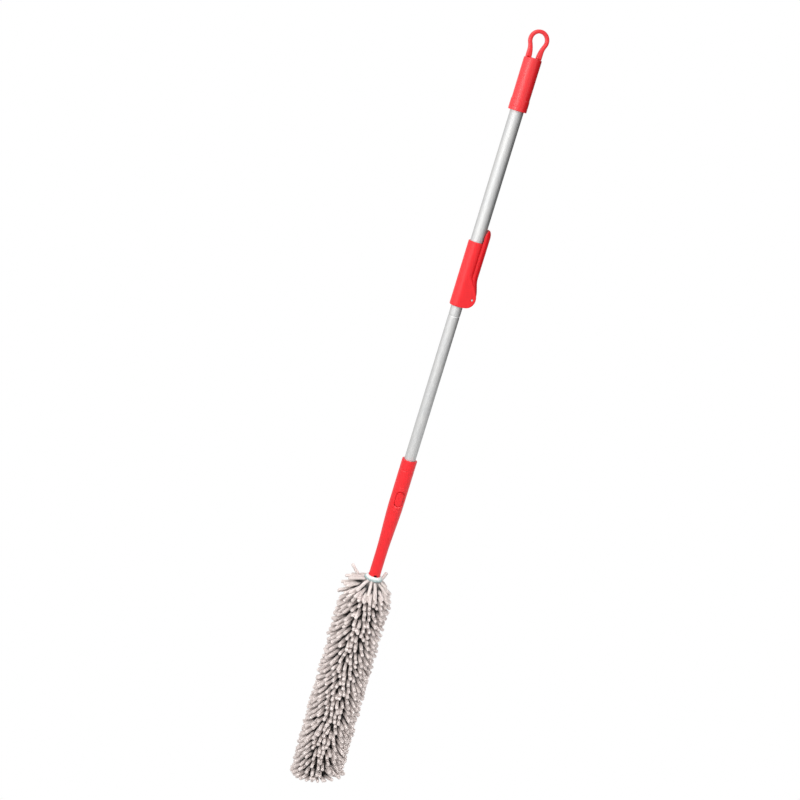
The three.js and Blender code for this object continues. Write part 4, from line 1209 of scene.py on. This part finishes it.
def finger_mesh(name, lines, outwards):
    """One mesh of round fingers along their middle lines, with soft ends and an uneven pile."""
    count, steps = lines.shape[:2]
    tangents = unit(np.gradient(lines, axis=1))
    across = unit(np.cross(UP, outwards + TINY))[:, None, :]
    rise = unit(np.cross(across, tangents))
    across = np.cross(tangents, rise)
    shares = np.linspace(0, 1, steps)
    girth = ROOT_GIRTH + (1 - ROOT_GIRTH) * np.minimum(shares / ROOT_TAPER, 1)
    rings, girths, alongs = [lines], [np.tile(girth, (count, 1))], [np.tile(shares, (count, 1))]
    end, onward = lines[:, -1], tangents[:, -1]
    for step in range(1, TIP_STEPS + 1):
        turn = pi / 2 * step / (TIP_STEPS + TIP_FLAT)
        rings.append((end + onward * FINGER_RADIUS * TIP_ROUND * sin(turn))[:, None])
        girths.append(np.full((count, 1), cos(turn)))
        alongs.append(np.ones((count, 1)))
    middles, girths, alongs = (np.concatenate(parts, 1) for parts in (rings, girths, alongs))
    last = [np.repeat(side[:, -1:], TIP_STEPS, 1) for side in (across, rise)]
    across, rise = (np.concatenate(pair, 1) for pair in zip((across, rise), last))
    turns = round_turns(FINGER_SIDES)
    bump = 1 + PILE_BUMP * draw.standard_normal((*girths.shape, FINGER_SIDES))
    own = FINGER_RADIUS * (1 + draw.uniform(-GIRTH_STRAY, GIRTH_STRAY, (count, 1, 1)))
    width = own * girths[..., None] * np.clip(bump, *PILE_LIMITS)
    points = (
        middles[:, :, None]
        + across[:, :, None] * (width * np.cos(turns))[..., None]
        + rise[:, :, None] * (width * np.sin(turns))[..., None]
    )
    ring_count = points.shape[1]
    block = ring_count * FINGER_SIDES
    finger = grid_faces(ring_count, FINGER_SIDES, False, True)
    finger += [range(FINGER_SIDES), range(block - 1, block - FINGER_SIDES - 1, -1)]
    starts = range(0, count * block, block)
    faces = [[start + corner for corner in face] for start in starts for face in finger]
    mesh = raw_mesh(name, points.reshape(-1, 3), faces)
    mesh.shade_smooth()
    # painted shade: 'along' drives the chenille's painted root shade, which is lifted near the hem
    pale = PALE_SHARE * fade((HEAD_TOP - lines[:, :1, 2]) / PALE_REACH)
    alongs = 1 - (1 - alongs) * (1 - pale)
    along = np.repeat(alongs[..., None], FINGER_SIDES, -1)
    tone = np.broadcast_to(draw.uniform(0, 1, (count, 1, 1)), along.shape)
    for label, values in (("along", along), ("tone", tone)):
        mesh.attributes.new(label, "FLOAT", "POINT").data.foreach_set("value", values.ravel())
    return mesh


def hem():
    """A puckered band of folded cloth that slopes out from the neck, open round its elastic."""
    low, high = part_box("hem_band")
    inner = NECK_RADIUS + FIT_GAP
    cloth = HEM_THICKNESS
    top = high.z - HEM_TOP_DROP
    knee = low.z + HEM_KNEE
    lip = inner + HEM_LIP * cloth
    outline = rounded([
        (inner, low.z, SMALL_ROUND),
        (HEM_RADIUS, low.z, cloth),
        (HEM_RADIUS - cloth / 2, knee, 2 * cloth),
        (lip, top, cloth / 2),
        (inner, top, SMALL_ROUND),
        (inner, top - cloth, SMALL_ROUND),
        (HEM_RADIUS - 2 * cloth, knee, cloth),
        (HEM_RADIUS - 1.5 * cloth, low.z + cloth, cloth / 2),
        (inner, low.z + cloth, SMALL_ROUND),
    ])

    def relief(angle, radius, height):
        share = np.clip((radius - inner) / (HEM_RADIUS - inner), 0, 1)
        uneven, often = HEM_RIPPLE_DRIFT
        return HEM_RIPPLE_DEPTH * share * np.sin(HEM_RIPPLES * angle + uneven * np.sin(often * angle))

    turns = round_turns(2 * ROUND_SIDES)
    band = turned("hem_band_cloth", divided(outline, HEM_STEP), HEM_FABRIC, turns, relief)
    settle(band, "pole", "hem_cloth", "hem_band")


def hem_elastic():
    """The woven elastic in the hem."""
    low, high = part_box("hem_elastic")
    inner = NECK_RADIUS + FIT_GAP
    corners = corners_of((inner, low.z), (high.x, high.z))
    outline = rounded([(*corner, (high.z - low.z) / 4) for corner in corners])
    settle(turned("hem_elastic_band", outline, ELASTIC), "pole", "elastic", "hem_elastic")


def dress_head():
    """The head's skin, stretch by stretch: foam, backing and fingers for the stretch round each bend."""
    points, outwards = finger_roots()
    lines = finger_lines(points, outwards)
    tops = np.array([inf, *ZONE_FEET[:-1]])
    zones = np.sum(points[:, 2][:, None] < tops[None, :], 1) - 1
    for zone in range(len(BENDS)):
        here = zones == zone
        name = f"fingers_{zone + 1}"
        fingers = piece_of(name, finger_mesh(name, lines[here], outwards[here]), CHENILLE)
        cross_bend(fingers)
        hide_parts(f"sleeve_{zone + 1}")
        knit = cross_bend(backing(zone))
        roll = cross_bend(foam(zone))
        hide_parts(f"foam_pad_{zone + 1}")


# Pieces carried over from the CAD


def carry_over():
    finishes = {
        STEEL: ["lever_pin", "clamp_rivet"],
        DARK: ["wiper_ring", "brake_shoe", "guide_bush", "pole_plug", "core_root", "core_tip"]
        + [f"core_strip_{index}" for index in range(1, len(BENDS) + 1)],
    }
    for finish, names in finishes.items():
        for name in names:
            mesh = frame["nodes"][name].data
            mesh.materials.clear()
            mesh.materials.append(finish)


# Stage


def white_if_seen(tree, shader, kind, output):
    """Shows plain white to camera, mirror and transmission rays, and a shader to the others."""
    nodes, links = tree.nodes, tree.links
    path = nodes.new("ShaderNodeLightPath")
    seen = path.outputs["Is Camera Ray"]
    for ray in ("Is Glossy Ray", "Is Transmission Ray"):
        most = nodes.new("ShaderNodeMath")
        most.operation = "MAXIMUM"
        links.new(seen, most.inputs[0])
        links.new(path.outputs[ray], most.inputs[1])
        seen = most.outputs[0]
    white = nodes.new(kind)
    white.inputs["Color"].default_value = (1, 1, 1, 1)
    white.inputs["Strength"].default_value = 1.0
    mix = nodes.new("ShaderNodeMixShader")
    for index, source in enumerate((seen, shader.outputs[0], white.outputs[0])):
        links.new(source, mix.inputs[index])
    links.new(mix.outputs[0], nodes[output].inputs["Surface"])


def make_world():
    """White where it is seen, softer as light."""
    world = bpy.data.worlds.new("studio")
    bpy.context.scene.world = world
    world.use_nodes = True
    light = world.node_tree.nodes["Background"]
    light.inputs["Color"].default_value = (1, 1, 1, 1)
    light.inputs["Strength"].default_value = WORLD_LIGHT
    white_if_seen(world.node_tree, light, "ShaderNodeBackground", "World Output")


def make_floor():
    """A plain pale floor, well below the hanging duster."""
    height = cad_box[0].z - FLOOR_DROP
    corners = corners_of((-FLOOR_SIZE, -FLOOR_SIZE), (FLOOR_SIZE, FLOOR_SIZE))
    corners = [(*corner, height) for corner in corners]
    pale = Finish("pale_floor", Base_Color=(0.85, 0.85, 0.85, 1), Roughness=0.9)
    white_if_seen(pale.material.node_tree, pale.shader, "ShaderNodeEmission", "Material Output")
    piece_of("floor", raw_mesh("floor", corners, [range(4)]), pale.material)


def beside(turn, distance, height):
    """A place at a turn to the right of the camera, as seen from the pole."""
    return Vector(distance * (cos(turn) * LEVEL + sin(turn) * RIGHT) + height * UP)


def make_card():
    """A dark card on the right of the upper pole, which the tubes reflect and the camera doesn't see."""
    points = [beside(turn, CARD_DISTANCE, height) for turn in CARD_TURNS for height in CARD_HEIGHTS]
    faces = grid_faces(len(CARD_TURNS), len(CARD_HEIGHTS), False, False)
    black = Finish("black_card", Base_Color=(0.02, 0.02, 0.02, 1)).material
    card = piece_of("dark_card", raw_mesh("dark_card", points, faces), black)
    card.visible_camera = False


def make_lamp(name, turn, distance, aim, size, power, rise=0):
    """A soft lamp at a turn in degrees, aimed at a height on the pole and standing some way above it."""
    data = bpy.data.lights.new(name, "AREA")
    data.shape = "RECTANGLE"
    data.size, data.size_y = size
    data.energy = power
    lamp = placed(name, data)
    place = beside(radians(turn), distance, aim + rise)
    towards = (place - Vector((0, 0, aim))).to_track_quat("Z", "Y").to_matrix().to_4x4()
    lamp.matrix_world = Matrix.Translation(place) @ towards
    lamp.visible_camera = False
    return lamp


def make_lights():
    """Soft keys on the left, a light each for the grip and the head, a high fill and a light behind."""
    for height, powers in KEY_POWERS.items():
        for turn, power in zip(KEY_TURNS, powers):
            make_lamp("key", turn, KEY_DISTANCE, height, KEY_SIZE, power)
    make_lamp("grip_light", turn=-36, distance=KEY_DISTANCE, aim=-0.068, size=(0.26, 0.14), power=1.0)
    head = BENDS[1]
    make_lamp("fill", turn=-20, distance=2.5, aim=head, size=SOFT_SIZE, power=46, rise=3.0)
    above = make_lamp("head_light", turn=32, distance=1.3, aim=head, size=(0.9, 0.9), power=0.85, rise=1.3)
    above.data.spread = HEAD_LIGHT_SPREAD
    middle = (cad_box[0].z + cad_box[1].z) / 2
    behind = make_lamp("back_light", turn=180, distance=2.5, aim=middle, size=SOFT_SIZE, power=22)
    behind.visible_glossy = False


bpy.context.scene.view_settings.view_transform = "Standard"
for build in (
    make_camera, hang_loop, grip, outer_tube, clamp_body, clamp_lever, inner_tube, neck_handle,
    release_button, button_spring, hem, hem_elastic, dress_head, carry_over,
    make_world, make_floor, make_lights, make_card,
):
    build()
